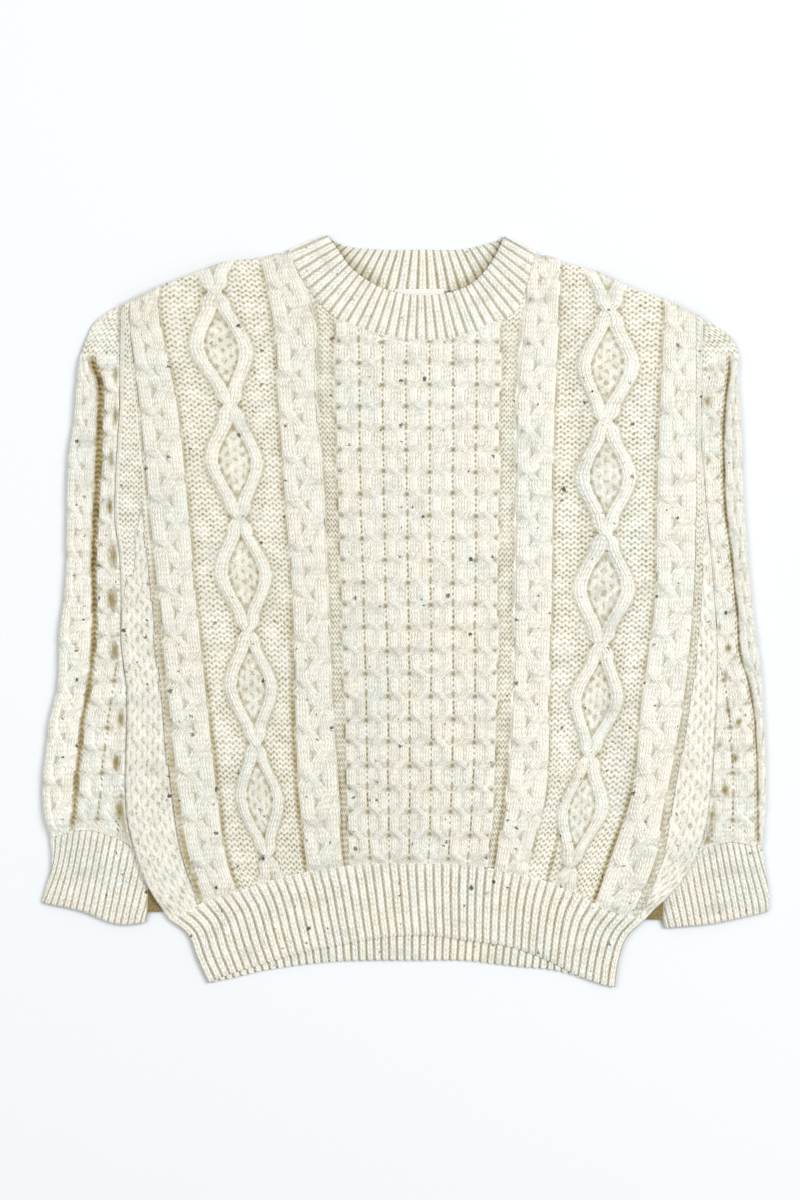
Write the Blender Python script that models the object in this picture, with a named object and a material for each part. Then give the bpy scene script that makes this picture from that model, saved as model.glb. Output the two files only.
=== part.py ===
"""A cable knit crew-neck sweater, laid flat on its back with both sleeves folded down along its sides.

Lengths are in millimetres until a mesh is made. A place on the laid sweater is (x, down): x runs across it
and down is the distance below the highest point of the collar, so the row frame's Y is HALF_LENGTH - down.
Left and right are those of someone who looks down at the sweater. Heights are above the surface it lies on.
"""

import math

import bmesh
import bpy
import numpy as np

# Driving sizes
HALF_LENGTH = 340.0
WALL = 2.8  # plain knitted ground
GAP = 0.3  # between two layers of cloth
SEAM = 0.8  # between two pieces that meet edge to edge
RIM = 0.8  # what is left of a wall's height at a folded edge
FOLD_RADIUS = 8.0  # of the relief's fall toward a folded side
SHOULDER_RADIUS = 5.0
CABLE = 4.4  # how far a cable stands above the ground
RIB = 1.7  # how far a rib stands above its valley
ROW = 5.04  # one knitted row
STITCH = 6.6  # one stitch of plain ground
SLEEVE_SLOT = 0.6  # the flat hollow inside a sleeve
SLEEVE_HEIGHT = 2 * WALL + SLEEVE_SLOT
LIFT = SLEEVE_HEIGHT + GAP  # how far a folded sleeve raises the body that lies on it
LEVEL = 4.0  # the body stays level as far as this beyond a sleeve's inner fold
RAMP = 30.0  # then comes down over this width
LOWER_END = (600.0, 612.0)  # and over this stretch above the hem's corners
INNER = WALL + GAP  # height of the front's inner face, where no sleeve lies below

# The body's folded side edges: down, left x, right x
BODY_SIDES = [
    (0, -256, 268), (70, -256, 268), (121, -257, 267), (156, -257, 266), (189, -259, 266), (226, -261, 269),
    (263, -261, 272), (283, -258, 274), (318, -256, 277), (367, -256, 280), (412, -251, 280),
    (452, -251, 278), (499, -252, 275), (531, -250, 271), (556, -244, 264), (585, -234, 248),
    (602, -224, 232), (614, -217, 221), (620, -213, 215.5),
]
# The front's columns, as stitches counted from its middle: outer plaits at 36 to 42, diamonds round 29,
# inner plaits at 16 to 22 and the honeycomb inside 14
COLUMN_STITCHES = [-42, -36, -29, -22, -16, -14, 14, 16, 22, 29, 36, 42]
PLAIT_MIDDLES = (-39, -19, 19, 39)
PLAIT_HALF = 3
HONEYCOMB_HALF = 14
# Where those stitches lie in some rows: down, then x of each
COLUMN_PLACES = [
    (25, -248, -222, -174, -129, -101, -68, 84, 109, 139, 180, 235, 261),
    (70, -248, -222, -170, -120, -85, -64, 85, 108, 138, 182, 234, 261),
    (151, -239, -207, -158, -114, -81, -63, 85, 101, 134, 180, 230, 261),
    (241, -230, -197, -151, -108, -74, -61, 84, 100, 132, 180, 227, 261),
    (331, -221, -189, -144, -101, -70, -58, 83, 99, 131, 178, 225, 258),
    (421, -212, -180, -138, -99, -67, -55, 82, 97, 129, 172, 213, 249),
    (511, -202, -170, -131, -95, -60, -53, 79, 91, 125, 159, 203, 233),
    (565, -193, -162, -124, -89, -57, -50, 74, 82, 112, 150, 185, 223),
    (614, -176, -145, -112, -81, -52, -45, 68, 74, 102, 135, 168, 204),
]
# Outlines as (down, x), from left to right
LEFT_SHOULDER = [
    (70, -256), (63, -252), (48, -221), (36, -189), (26, -163), (24, -140), (18, -117), (14, -107),
]
RIGHT_SHOULDER = [(17, 120), (20, 130), (27, 143), (35, 173), (51, 206), (61, 237), (75, 264), (79, 268)]
NECK_SEAM = [
    (17.5, -104.5), (36, -96), (55, -84), (75, -65), (88, -36), (95, -6), (97, 19), (95, 45),
    (82, 78), (69, 101), (52, 108), (36, 112.5), (20, 117),
]
NECK_EDGE = [
    (3.5, -70), (12, -63), (30, -50), (49, -22), (56, 11), (55, 31), (45, 60), (25, 78), (4.5, 88.5),
]
BACK_NECK_SEAM = [
    (17.5, -104.5), (33, -88), (47, -60), (52, -20), (52, 40), (46, 80), (32, 104), (20, 117),
]
BACK_NECK_EDGE = [(3.5, -70), (9, -60), (14, -28), (14.5, 13), (13, 58), (7, 80), (4.5, 88.5)]
HEM_SEAM = [
    (620, -213), (611.5, -196), (602, -178), (594, -149), (585, -123), (577, -89), (572, -58), (569, -5),
    (569, 32), (572, 69), (579, 99), (585, 126), (594, 150), (610, 180), (616, 202), (620, 215.5),
]
HEM_EDGE = [
    (676, -178), (671, -166), (660, -131), (650, -97), (644, -68), (638, -36), (634, -5), (634, 25),
    (638, 54), (645, 99), (653, 121), (672, 162), (678, 180), (680, 189),
]
BACK_HEM_EDGE = [
    (676, -178), (674, -166), (666, -131), (661, -97), (658, -68), (657, -36), (657, 9), (657, 54),
    (662, 99), (666, 139), (678, 180), (680, 189),
]
HEM_LEFT = [(620, -213), (631, -198), (657, -187), (676, -178)]
HEM_RIGHT = [(620, 215.5), (635, 200), (658, 192), (680, 189)]
# Each sleeve: its outer fold, the purl gutter between its plait and its honeycomb, and its cuff
SLEEVES = {
    "left": {
        "outer fold": [
            (66, -261), (78, -278), (95, -288), (108, -293), (133, -297), (171, -300), (196, -304),
            (250, -306), (313, -307), (365, -313), (405, -314), (442, -322), (468, -325), (503, -328),
            (531, -325), (545, -321),
        ],
        "gutter": [
            (66, -262), (95, -278), (116, -282), (133, -276), (171, -276), (225, -278), (262, -280),
            (306, -281), (367, -281), (411, -286), (442, -291), (468, -294), (499, -297), (545, -302),
        ],
        "hidden fold": [(66, -160), (600, -228)],
        "cuff seam": [(545, -321), (538, -288), (549, -253), (562, -232)],
        "cuff edge": [(604, -328), (611, -295), (624, -255), (622, -235)],
        "cuff outer": [(545, -321), (562, -319), (604, -328)],
        "cuff inner": [(570, -232), (603, -233), (622, -235)],
    },
    "right": {
        "outer fold": [
            (80, 274), (92, 292), (101, 298), (133, 300), (171, 303), (250, 306), (275, 308), (313, 311),
            (351, 315), (393, 321), (432, 323), (472, 325), (512, 325), (554, 322),
        ],
        "gutter": [
            (80, 274), (101, 290), (123, 292), (145, 289), (171, 287), (225, 287), (250, 288), (275, 292),
            (313, 296), (344, 299), (385, 303), (400, 308), (432, 314), (459, 316), (554, 318),
        ],
        "hidden fold": [(66, 165), (600, 230)],
        "cuff seam": [(554, 322), (549, 290), (560, 259), (580, 234)],
        "cuff edge": [(612, 327), (617, 305), (622, 282), (627, 234)],
        "cuff outer": [(554, 322), (569, 324), (603, 328), (612, 327)],
        "cuff inner": [(580, 234), (603, 233), (627, 234)],
    },
}
HONEYCOMB_CELL_STITCHES = 4
HONEYCOMB_ROWS = 8
HONEYCOMB_START = 117.5  # top of the first cell
HONEYCOMB_STRAND = 1.15  # half widths, heights and reaches of strands are in stitches and in cable heights
HONEYCOMB_UNDER = 0.45  # height of a strand where it passes under another
PLAIT_ROWS = 8
PLAIT_STRAND = 1.2
PLAIT_REACH = 2.2
PLAIT_LEVELS = (0.78, 0.22)  # mean height of a strand, and how far it rises and sinks
DIAMONDS = {-29: (54.0, 101.5), 29: (70.0, 100.2)}  # stitch: first crossing, length of one diamond
DIAMOND_SHAPE = [(0, 0), (0.15, 0.95), (0.8, 2.85), (1, 2.95)]  # share of the half length, stitches
DIAMOND_STRAND = 0.95
DIAMOND_HEIGHTS = (0.85, 0.25)  # of its strands, and of the cloth inside them
DIAMOND_HALF = 4.2
SLEEVE_STITCH = 4.9  # sleeve cloth is closer at its fold
CUFF_RIBS = 14
HEM_RIBS = 54
NECK_RIBS = 34
BACK_NECK_RIBS = 22
RIB_PROFILE = [(0.0, 0.0), (0.5, 1.0)]  # share of a rib's width, share of its height
NECK_ABOVE = 4.5  # height of the inner side of the neckband's front half
NECK_BELOW = 2.5  # thickness of its back half, between its ribs
NECK_TURNS = (3.2, 0.6)  # how far its outer and inner side reach at the folds
LABEL = (45.0, 11.0, 0.6)
LABEL_PLACE = (9.0, 59.5)  # x, down
SETTLE_STEPS = 12  # rounds in which a grid's rows and columns settle on their curved edges

COLLECTION = "cable_knit_sweater"
WOOL = (0.80, 0.77, 0.66, 1)
LABEL_CLOTH = (0.86, 0.86, 0.83, 1)


def smooth(at, table, column=1):
    """A smooth curve through one column of a table whose first column rises."""
    knots = np.array([row[0] for row in table], float)
    values = np.array([row[column] for row in table], float)
    slopes = np.gradient(values, knots)
    at = np.clip(at, knots[0], knots[-1])
    i = np.clip(np.searchsorted(knots, at, side="right") - 1, 0, len(knots) - 2)
    width = knots[i + 1] - knots[i]
    t = (at - knots[i]) / width
    rise = values[i + 1] - values[i]
    a = slopes[i] * width - rise
    b = -slopes[i + 1] * width + rise
    return values[i] + t * rise + t * (1 - t) * (a * (1 - t) + b * t)


def along(points, share):
    """Places at these shares of the length of a smooth line through (down, x) points: (x, down)."""
    steps = np.hypot(*np.diff(np.array(points, float), axis=0).T)
    length = np.concatenate([[0], np.cumsum(steps)]) / steps.sum()
    x = smooth(share, list(zip(length, [p[1] for p in points])))
    down = smooth(share, list(zip(length, [p[0] for p in points])))
    return np.stack([x, down], axis=-1)


def straight_shares(points, share, push):
    """Places on this line at even steps of x between its ends, moved down by push: (x, down)."""
    x = points[0][1] + share * (points[-1][1] - points[0][1])
    return np.stack([x, across(points, x) + push], axis=-1)


def across(points, x):
    """How far down the line through these points lies at x."""
    order = sorted((p[1], p[0]) for p in points)
    return smooth(x, order)


def pushed(points, distance):
    """The line moved to its right-hand side, which is away from the collar."""
    p = along(points, np.linspace(0, 1, 60))
    direction = np.gradient(p, axis=0)
    direction /= np.hypot(*direction.T)[:, None]
    p = p + distance * np.stack([-direction[:, 1], direction[:, 0]], axis=1)
    return [(down, x) for x, down in p]


def body_side(side, down):
    return smooth(down, BODY_SIDES, 1 if side == "left" else 2)


def slope_lines():
    """The straight lines, as (x, down) and a direction, where the body bends to go over the sleeves."""
    lines = []
    for side, inward in (("left", 1), ("right", -1)):
        (top, x_top), (bottom, x_bottom) = SLEEVES[side]["hidden fold"]
        direction = (x_bottom - x_top, bottom - top)
        offsets = (LEVEL, LEVEL + RAMP)
        for offset in offsets:
            lines.append(((x_top + inward * offset, top), direction))
        corner_x = [hidden_fold(side, down) + inward * offset for down, offset in zip(LOWER_END, offsets)]
        corner_run = corner_x[1] - corner_x[0], LOWER_END[1] - LOWER_END[0]
        lines.append(((corner_x[0], LOWER_END[0]), corner_run))
    lines += [((0, down), (1, 0)) for down in LOWER_END]
    return lines


def hidden_fold(side, down):
    """x of a sleeve's inner fold, a straight line under the body."""
    (top, x_top), (bottom, x_bottom) = SLEEVES[side]["hidden fold"]
    return x_top + (x_bottom - x_top) * (down - top) / (bottom - top)


def lift(x, down):
    """How far the sleeves raise the body's cloth: flat over a sleeve, then even slopes."""
    x, down = np.asarray(x, float), np.asarray(down, float)
    lower = (LOWER_END[1] - down) / (LOWER_END[1] - LOWER_END[0])
    raised = np.zeros(np.broadcast(x, down).shape)
    for side, inward in (("left", 1), ("right", -1)):
        slope = 1 - ((x - hidden_fold(side, down)) * inward - LEVEL) / RAMP
        raised = np.maximum(raised, np.clip(np.minimum(slope, lower), 0, 1))
    return LIFT * raised


def strand(distance, half_width):
    """The round back of a strand, 1 on its middle line and 0 beyond its edges."""
    return np.sqrt(np.clip(1 - (distance / half_width) ** 2, 0, 1))


def swing(turns, sharpness=1.7):
    """A wave of +-1 whose strands run straight between quick crossings."""
    return np.clip(sharpness * np.cos(2 * math.pi * turns), -1, 1)


def honeycomb(stitch, down, start=HONEYCOMB_START):
    """Strands that swing apart and together: a cell opens wherever two of them part."""
    unit = np.floor(stitch / HONEYCOMB_CELL_STITCHES)
    local = stitch - HONEYCOMB_CELL_STITCHES * (unit + 0.5)
    turns = (down - start) / (ROW * HONEYCOMB_ROWS) + 0.25
    place = swing(turns) * np.where(unit % 2 == 0, 1, -1)
    over = strand(local - place, HONEYCOMB_STRAND)
    under = HONEYCOMB_UNDER * strand(local + place, HONEYCOMB_STRAND)
    return np.maximum(over, under)


def plait(stitch, down):
    """Three strands of two stitches, plaited: each crosses over on its way inward."""
    height = np.zeros(np.broadcast(stitch, down).shape)
    mean, rise = PLAIT_LEVELS
    for i in range(3):
        angle = 2 * math.pi * (down / (3 * PLAIT_ROWS * ROW) + i / 3)
        place = PLAIT_REACH * (np.sin(angle) + 0.12 * np.sin(3 * angle))
        level = mean - rise * np.sin(2 * angle)
        height = np.maximum(height, level * strand(stitch - place, PLAIT_STRAND))
    return height


def diamonds(stitch, down, first, length):
    """Two strands that cross, part round a diamond of ground and meet again."""
    share = np.abs(((down - first) / length + 0.5) % 1 - 0.5) * 2
    apart = smooth(share, DIAMOND_SHAPE)
    strands = np.maximum(strand(stitch - apart, DIAMOND_STRAND), strand(stitch + apart, DIAMOND_STRAND))
    strand_height, ground_height = DIAMOND_HEIGHTS
    return np.maximum(strand_height * strands, ground_height * (np.abs(stitch) < apart))


def body_cables(stitch, down):
    """How far the front's cables stand above its ground, from 0 to 1."""
    combed = honeycomb(stitch + HONEYCOMB_HALF, down)
    height = np.where(np.abs(stitch) <= HONEYCOMB_HALF, combed, 0)
    for middle in PLAIT_MIDDLES:
        near = np.abs(stitch - middle) <= PLAIT_HALF
        height = np.where(near, plait(stitch - middle, down), height)
    for middle, (first, length) in DIAMONDS.items():
        near = np.abs(stitch - middle) <= DIAMOND_HALF
        height = np.where(near, diamonds(stitch - middle, down, first, length), height)
    return height


def edge_round(distance, radius=FOLD_RADIUS):
    """From 0 at a folded edge to 1 inside, as a quarter circle."""
    return np.sqrt(np.clip(1 - (1 - np.clip(distance / radius, 0, 1)) ** 2, 0, 1))


def to_metres(x, down, height):
    return (x * 0.001, (HALF_LENGTH - down) * 0.001, height * 0.001)


def finish(name, bm, colour=WOOL):
    """Makes the object from its closed mesh, with its material, and puts it in the collection."""
    bmesh.ops.triangulate(bm, faces=bm.faces)
    bmesh.ops.recalc_face_normals(bm, faces=bm.faces)
    if bm.calc_volume(signed=True) < 0:
        bmesh.ops.reverse_faces(bm, faces=bm.faces)
    mesh = bpy.data.meshes.new(name)
    bm.to_mesh(mesh)
    bm.free()
    material = bpy.data.materials.new(name)
    material.use_nodes = True
    shader = material.node_tree.nodes["Principled BSDF"]
    shader.inputs["Base Color"].default_value = colour
    shader.inputs["Roughness"].default_value = 0.9
    mesh.materials.append(material)
    mesh.shade_smooth()
    mesh.set_sharp_from_angle(angle=math.radians(50))
    bpy.data.collections[COLLECTION].objects.link(bpy.data.objects.new(name, mesh))


def cut_at_slopes(bm, chosen=lambda face: True):
    """Cuts the chosen flat faces along the slope lines, so that they can bend there."""
    for (x, down), (run_x, run_down) in slope_lines():
        faces = [f for f in bm.faces if chosen(f)]
        geom = faces + list({e for f in faces for e in f.edges}) + list({v for f in faces for v in f.verts})
        normal = (run_down, -run_x, 0)
        bmesh.ops.bisect_plane(bm, geom=geom, dist=1e-4, plane_co=(x, down, 0), plane_no=normal)


def wall(name, x, down, height, under):
    """A sheet with relief on top and a plain underside. x, down and height are grids of points, and
    under gives the underside's height, which bends only along the slope lines."""
    rows, columns = x.shape
    bm = bmesh.new()
    bmesh.ops.create_grid(bm, x_segments=columns - 1, y_segments=rows - 1, size=1)
    for v in bm.verts:
        spot = round((v.co.y + 1) / 2 * (rows - 1)), round((v.co.x + 1) / 2 * (columns - 1))
        v.co = (x[spot], down[spot], height[spot])
    border = [e for e in bm.edges if e.is_boundary]
    lower = bmesh.ops.extrude_edge_only(bm, edges=border)["geom"]
    rim = [e for e in lower if isinstance(e, bmesh.types.BMEdge)]
    for v in {v for e in rim for v in e.verts}:
        v.co.z = 0
    bmesh.ops.triangulate(bm, faces=bmesh.ops.edgeloop_fill(bm, edges=rim)["faces"])
    cut_at_slopes(bm, lambda face: all(v.co.z == 0 for v in face.verts))
    for v in {v for f in bm.faces if all(v.co.z == 0 for v in f.verts) for v in f.verts}:
        v.co.z = float(under(v.co.x, v.co.y))
    for v in bm.verts:
        v.co = to_metres(*v.co)
    finish(name, bm)


def row_shares(near_edge, count):
    """Shares from 0 to 1: an edge, two close to it for its rounding, then even steps."""
    return np.array([0, *near_edge, *np.linspace(near_edge[-1], 1, count)[1:]])


def top_line():
    """The front's upper edge, shoulder to shoulder round the collar: x, then how far down."""
    neck = pushed(NECK_SEAM, 1.8 * SEAM)
    left, right = LEFT_SHOULDER[-1][1], RIGHT_SHOULDER[0][1]
    points = LEFT_SHOULDER[:-1] + [p for p in neck if left < p[1] < right] + RIGHT_SHOULDER[1:]
    points = sorted(points, key=lambda p: p[1])
    return [p[1] for p in points], [p[0] for p in points]


def front_grid():
    """The front's points: x and down of each, its stitch, and the edges' places beside and above it."""
    sides = [0.0, 0.14, 0.55]  # shares of the strip between the folded side and the outer plait
    runs = [  # first and last stitch of a run of columns, and how many columns it takes
        (-42, -36, 5), (-36, -22, 12), (-22, -16, 5), (-16, -14, 4), (-14, 14, 22), (14, 16, 4),
        (16, 22, 5), (22, 36, 12), (36, 42, 5),
    ]
    stitches = [float(runs[0][0])]
    for first, last, count in runs:
        stitches += list(np.linspace(first, last, count)[1:])
    top_x, top_down = top_line()
    even = HONEYCOMB_START + 2 * ROW * np.arange(1, 44)
    upper = row_shares((0.02, 0.06), 6)
    lower = np.linspace(0, 1, 5)[1:]
    count = len(upper) - 1 + len(even) + len(lower)
    margin, size = len(sides), len(stitches) + 2 * len(sides)
    down = np.repeat(np.linspace(top_down[0], even[-1], count)[:, None], size, axis=1)
    for _ in range(SETTLE_STEPS):
        left, right = body_side("left", down), body_side("right", down)
        knots = np.stack([smooth(down, COLUMN_PLACES, k + 1) for k in range(len(COLUMN_STITCHES))])
        first, last = knots[0], knots[-1]
        parts = [left[:, i] + sides[i] * (first - left)[:, i] for i in range(margin)]
        for i, stitch in enumerate(stitches, start=margin):
            column = [np.interp(stitch, COLUMN_STITCHES, knots[:, row, i]) for row in range(count)]
            parts.append(np.array(column))
        for i in range(size - margin, size):
            parts.append(right[:, i] + sides[size - 1 - i] * (last - right)[:, i])
        place = np.stack(parts, axis=1)
        top = np.interp(place[0], top_x, top_down)
        bottom = across(HEM_SEAM, place[-1])
        for i in range(size):
            head = top[i] + upper[:-1] * (even[0] - top[i])
            tail = even[-1] + lower * (bottom[i] - even[-1])
            down[:, i] = np.concatenate([head, even, tail])
    stitch = np.array([*sides, *stitches, *sides]) + np.zeros_like(place)
    stitch[:, :margin] = (COLUMN_STITCHES[0] - (first - place) / STITCH)[:, :margin]
    stitch[:, -margin:] = (COLUMN_STITCHES[-1] + (place - last) / STITCH)[:, -margin:]
    return place, down, stitch, (left, right, top, bottom)


def front_panel():
    """The front's cloth, with its cables, from the shoulders and the neck seam to the hem seam."""
    place, down, stitch, (left, right, top, bottom) = front_grid()
    seam_width, least, away = 9.0, 0.35, 30.0
    on_shoulder = (place < LEFT_SHOULDER[-1][1] + 1) | (place > RIGHT_SHOULDER[0][1] - 1)
    to_shoulder = np.where(on_shoulder, down - top, away)
    rounding = edge_round(np.minimum(place - left, right - place)) * edge_round(to_shoulder, SHOULDER_RADIUS)
    flatter = np.clip(np.minimum(down - top, bottom - down) / seam_width, least, 1)
    relief = WALL - RIM + CABLE * body_cables(stitch, down) * flatter
    height = INNER + lift(place, down) + RIM + relief * rounding
    wall("front_panel", place, down, height, lambda x, d: INNER + lift(x, d))


def filled(name, outline, under, over, inset=1.4):
    """A plain sheet inside an outline of (x, down) points, which bends along the slope lines. Its lower
    edge is drawn in a little, so that the cloth's edge is soft."""
    bm = bmesh.new()
    outline = np.array(outline)
    corners = [bm.verts.new((px, pdown, 0)) for px, pdown in outline]
    bmesh.ops.triangulate(bm, faces=[bm.faces.new(corners)])
    cut_at_slopes(bm)
    top = set(bm.verts)
    made = bmesh.ops.extrude_face_region(bm, geom=list(bm.faces), use_keep_orig=True)["geom"]
    low = {v for v in made if isinstance(v, bmesh.types.BMVert)}
    rim = {v for v in low if any(e.other_vert(v) in top for e in v.link_edges)}
    moved = {}
    for v in rim:
        beside = [e.other_vert(v).co for e in v.link_edges if e.other_vert(v) in rim]
        if len(beside) == 2:
            run = beside[1] - beside[0]
            side = np.array([-run.y, run.x]) / max(math.hypot(run.x, run.y), 1e-9)
            inner = np.array([v.co.x, v.co.y]) + side * inset
            moved[v] = inner if inside(outline, inner) else np.array([v.co.x, v.co.y]) - side * inset
    for v, spot in moved.items():
        v.co.x, v.co.y = spot
    for v in bm.verts:
        v.co.z = float((over if v in top else under)(v.co.x, v.co.y))
        v.co = to_metres(*v.co)
    finish(name, bm)


def inside(outline, point):
    """Whether the point is inside the outline."""
    x, y = point
    x1, y1 = outline.T
    x2, y2 = np.roll(outline, -1, axis=0).T
    crossing = (y1 > y) != (y2 > y)
    where = x1 + (y - y1) / np.where(y2 == y1, 1e-9, y2 - y1) * (x2 - x1)
    return bool((crossing & (x < where)).sum() % 2)


def back_panel():
    """The back's cloth, which lies on the surface and over the sleeves. Its cables are on its underside,
    pressed flat there, so it is plain."""
    neck = pushed(BACK_NECK_SEAM, SEAM)
    shoulder_left = [(x, down) for down, x in LEFT_SHOULDER[:-1]]
    shoulder_right = [(x, down) for down, x in RIGHT_SHOULDER[1:]]
    collar = [(x, down) for down, x in neck[::3] if LEFT_SHOULDER[-1][1] + 1 < x < RIGHT_SHOULDER[0][1] - 1]
    sides = np.arange(90, LOWER_END[1], 17.0)
    right = [(float(body_side("right", d)), d) for d in sides]
    left = [(float(body_side("left", d)), d) for d in sides[::-1]]
    seam = [tuple(p) for p in along(HEM_SEAM, np.linspace(1, 0, 40))]
    outline = shoulder_left + collar + shoulder_right + right + seam + left
    filled("back_panel", outline, lift, lambda x, d: lift(x, d) + WALL)


def rib_shares(ribs):
    """(shares across a rib band, height of each from 0 to 1), with the band's two edges."""
    shares = [(rib + share) / ribs for rib in range(ribs) for share, _ in RIB_PROFILE]
    heights = [height for _ in range(ribs) for _, height in RIB_PROFILE]
    return np.array(shares + [1.0]), np.array(heights + [0.0])


def ruled(seam, bottom, left, right, share, fall, gap):
    """Places between a seam and three edge lines: share runs along the seam, fall away from it."""
    t, b = straight_shares(seam, share, gap)[None], along(bottom, share)[None]
    l, r = along(left, fall)[:, None], along(right, fall)[:, None]
    g, f = fall[:, None, None], share[None, :, None]
    corners = (1 - g) * ((1 - f) * t[:, :1] + f * t[:, -1:]) + g * ((1 - f) * b[:, :1] + f * b[:, -1:])
    spots = (1 - g) * t + g * b + (1 - f) * l + f * r - corners
    spots[0] = t
    return spots


def hem_front():
    """The front's ribbed hem, a row of points at each share of its fall from the seam."""
    share, rib = rib_shares(HEM_RIBS)
    rows = np.array([(0, 0.75), (0.08, 1), (0.92, 1), (1, 0)])  # share of the fall, share of the height
    spot = ruled(HEM_SEAM, HEM_EDGE, HEM_LEFT, HEM_RIGHT, share, rows[:, 0], 2 * SEAM)
    x, down = spot[..., 0], spot[..., 1]
    to_side = np.minimum(share, 1 - share) * (x[0, -1] - x[0, 0])
    rise = (WALL - RIM + RIB * (rib[None] - 0.25)) * edge_round(to_side)[None] * rows[:, 1:]
    height = INNER + lift(x, down) + RIM + rise
    wall("hem_front", x, down, height, lambda px, d: INNER + lift(px, d))


def hem_back():
    """The back's hem reaches lower than the front's, so a strip of its inside shows, with its ribs."""
    share, rib = rib_shares(HEM_RIBS)
    middle = along(pushed(HEM_EDGE, 1.0), share)
    bottom = along(BACK_HEM_EDGE, share)
    reach = np.maximum(bottom[:, 1] - middle[:, 1], 0)
    middle[:, 1] = np.minimum(middle[:, 1], bottom[:, 1] - 1.5)
    # Rows of points below the seam: share of the strip that shows, share of the wall, share of the ribs
    rows = np.array([(0, 0.8, 0), (0.3, 1, 1), (0.85, 0.9, 0.8), (1, 0.3, 0)])
    strip = [middle + fall * (bottom - middle) for fall in rows[:, 0]]
    spot = np.array([straight_shares(HEM_SEAM, share, 1.3 * SEAM), *strip])
    x, down = spot[..., 0], spot[..., 1]
    left, right = along(HEM_LEFT, np.linspace(0, 1, 60)), along(HEM_RIGHT, np.linspace(0, 1, 60))
    shift_left = np.interp(down[:, 0], left[:, 1], left[:, 0]) - x[:, 0]
    shift_right = np.interp(down[:, -1], right[:, 1], right[:, 0]) - x[:, -1]
    x = x + shift_left[:, None] * (1 - share) ** 4 + shift_right[:, None] * share ** 4
    shown = np.clip((reach - 6) / 8, 0, 1)
    rows = np.vstack([rows[:1], rows])
    height = lift(x, down) + WALL * rows[:, 1:2] + 0.8 * RIB * rib * shown * rows[:, 2:]
    wall("hem_back", x, down, height, lift)


def drawn_in(x, inward, inset, least_step=0.1):
    """The same columns between edges that are drawn in by inset, where none lies on the next."""
    across_tube = x * inward
    steps = least_step * np.arange(x.shape[1])
    low = across_tube[:, :1] + inset + steps
    high = across_tube[:, -1:] - inset - steps[::-1]
    return np.clip(across_tube, low, high) * inward


def flat_tube(name, x, down, top, inward):
    """A tube of cloth pressed flat: its upper side is a grid of points with relief, its lower side rests on
    the surface, and a thin slot between them stays open at both ends. inward is x's direction, 1 or -1."""
    rows, columns = x.shape
    flat_x = drawn_in(x, inward, 2.4)
    slot_x = drawn_in(x, inward, WALL)
    bm = bmesh.new()

    def sheet(px, pz):
        spots = np.stack([px, down, pz], axis=-1)
        return [[bm.verts.new(spot) for spot in row] for row in spots]

    upper, lower = sheet(x, top), sheet(flat_x, np.zeros_like(x))
    ceiling = sheet(slot_x, np.full_like(x, WALL + SLEEVE_SLOT))
    floor = sheet(slot_x, np.full_like(x, WALL))
    for r in range(rows - 1):
        for c in range(columns - 1):
            for grid in (upper, lower, ceiling, floor):
                bm.faces.new((grid[r][c], grid[r][c + 1], grid[r + 1][c + 1], grid[r + 1][c]))
        for c in (0, -1):
            bm.faces.new((upper[r][c], upper[r + 1][c], lower[r + 1][c], lower[r][c]))
            bm.faces.new((ceiling[r][c], ceiling[r + 1][c], floor[r + 1][c], floor[r][c]))
    for r in (0, -1):
        for c in range(columns - 1):
            bm.faces.new((upper[r][c], upper[r][c + 1], ceiling[r][c + 1], ceiling[r][c]))
            bm.faces.new((lower[r][c], lower[r][c + 1], floor[r][c + 1], floor[r][c]))
        for c in (0, -1):
            bm.faces.new((upper[r][c], ceiling[r][c], floor[r][c], lower[r][c]))
    for v in bm.verts:
        v.co = to_metres(*v.co)
    finish(name, bm)


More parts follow.
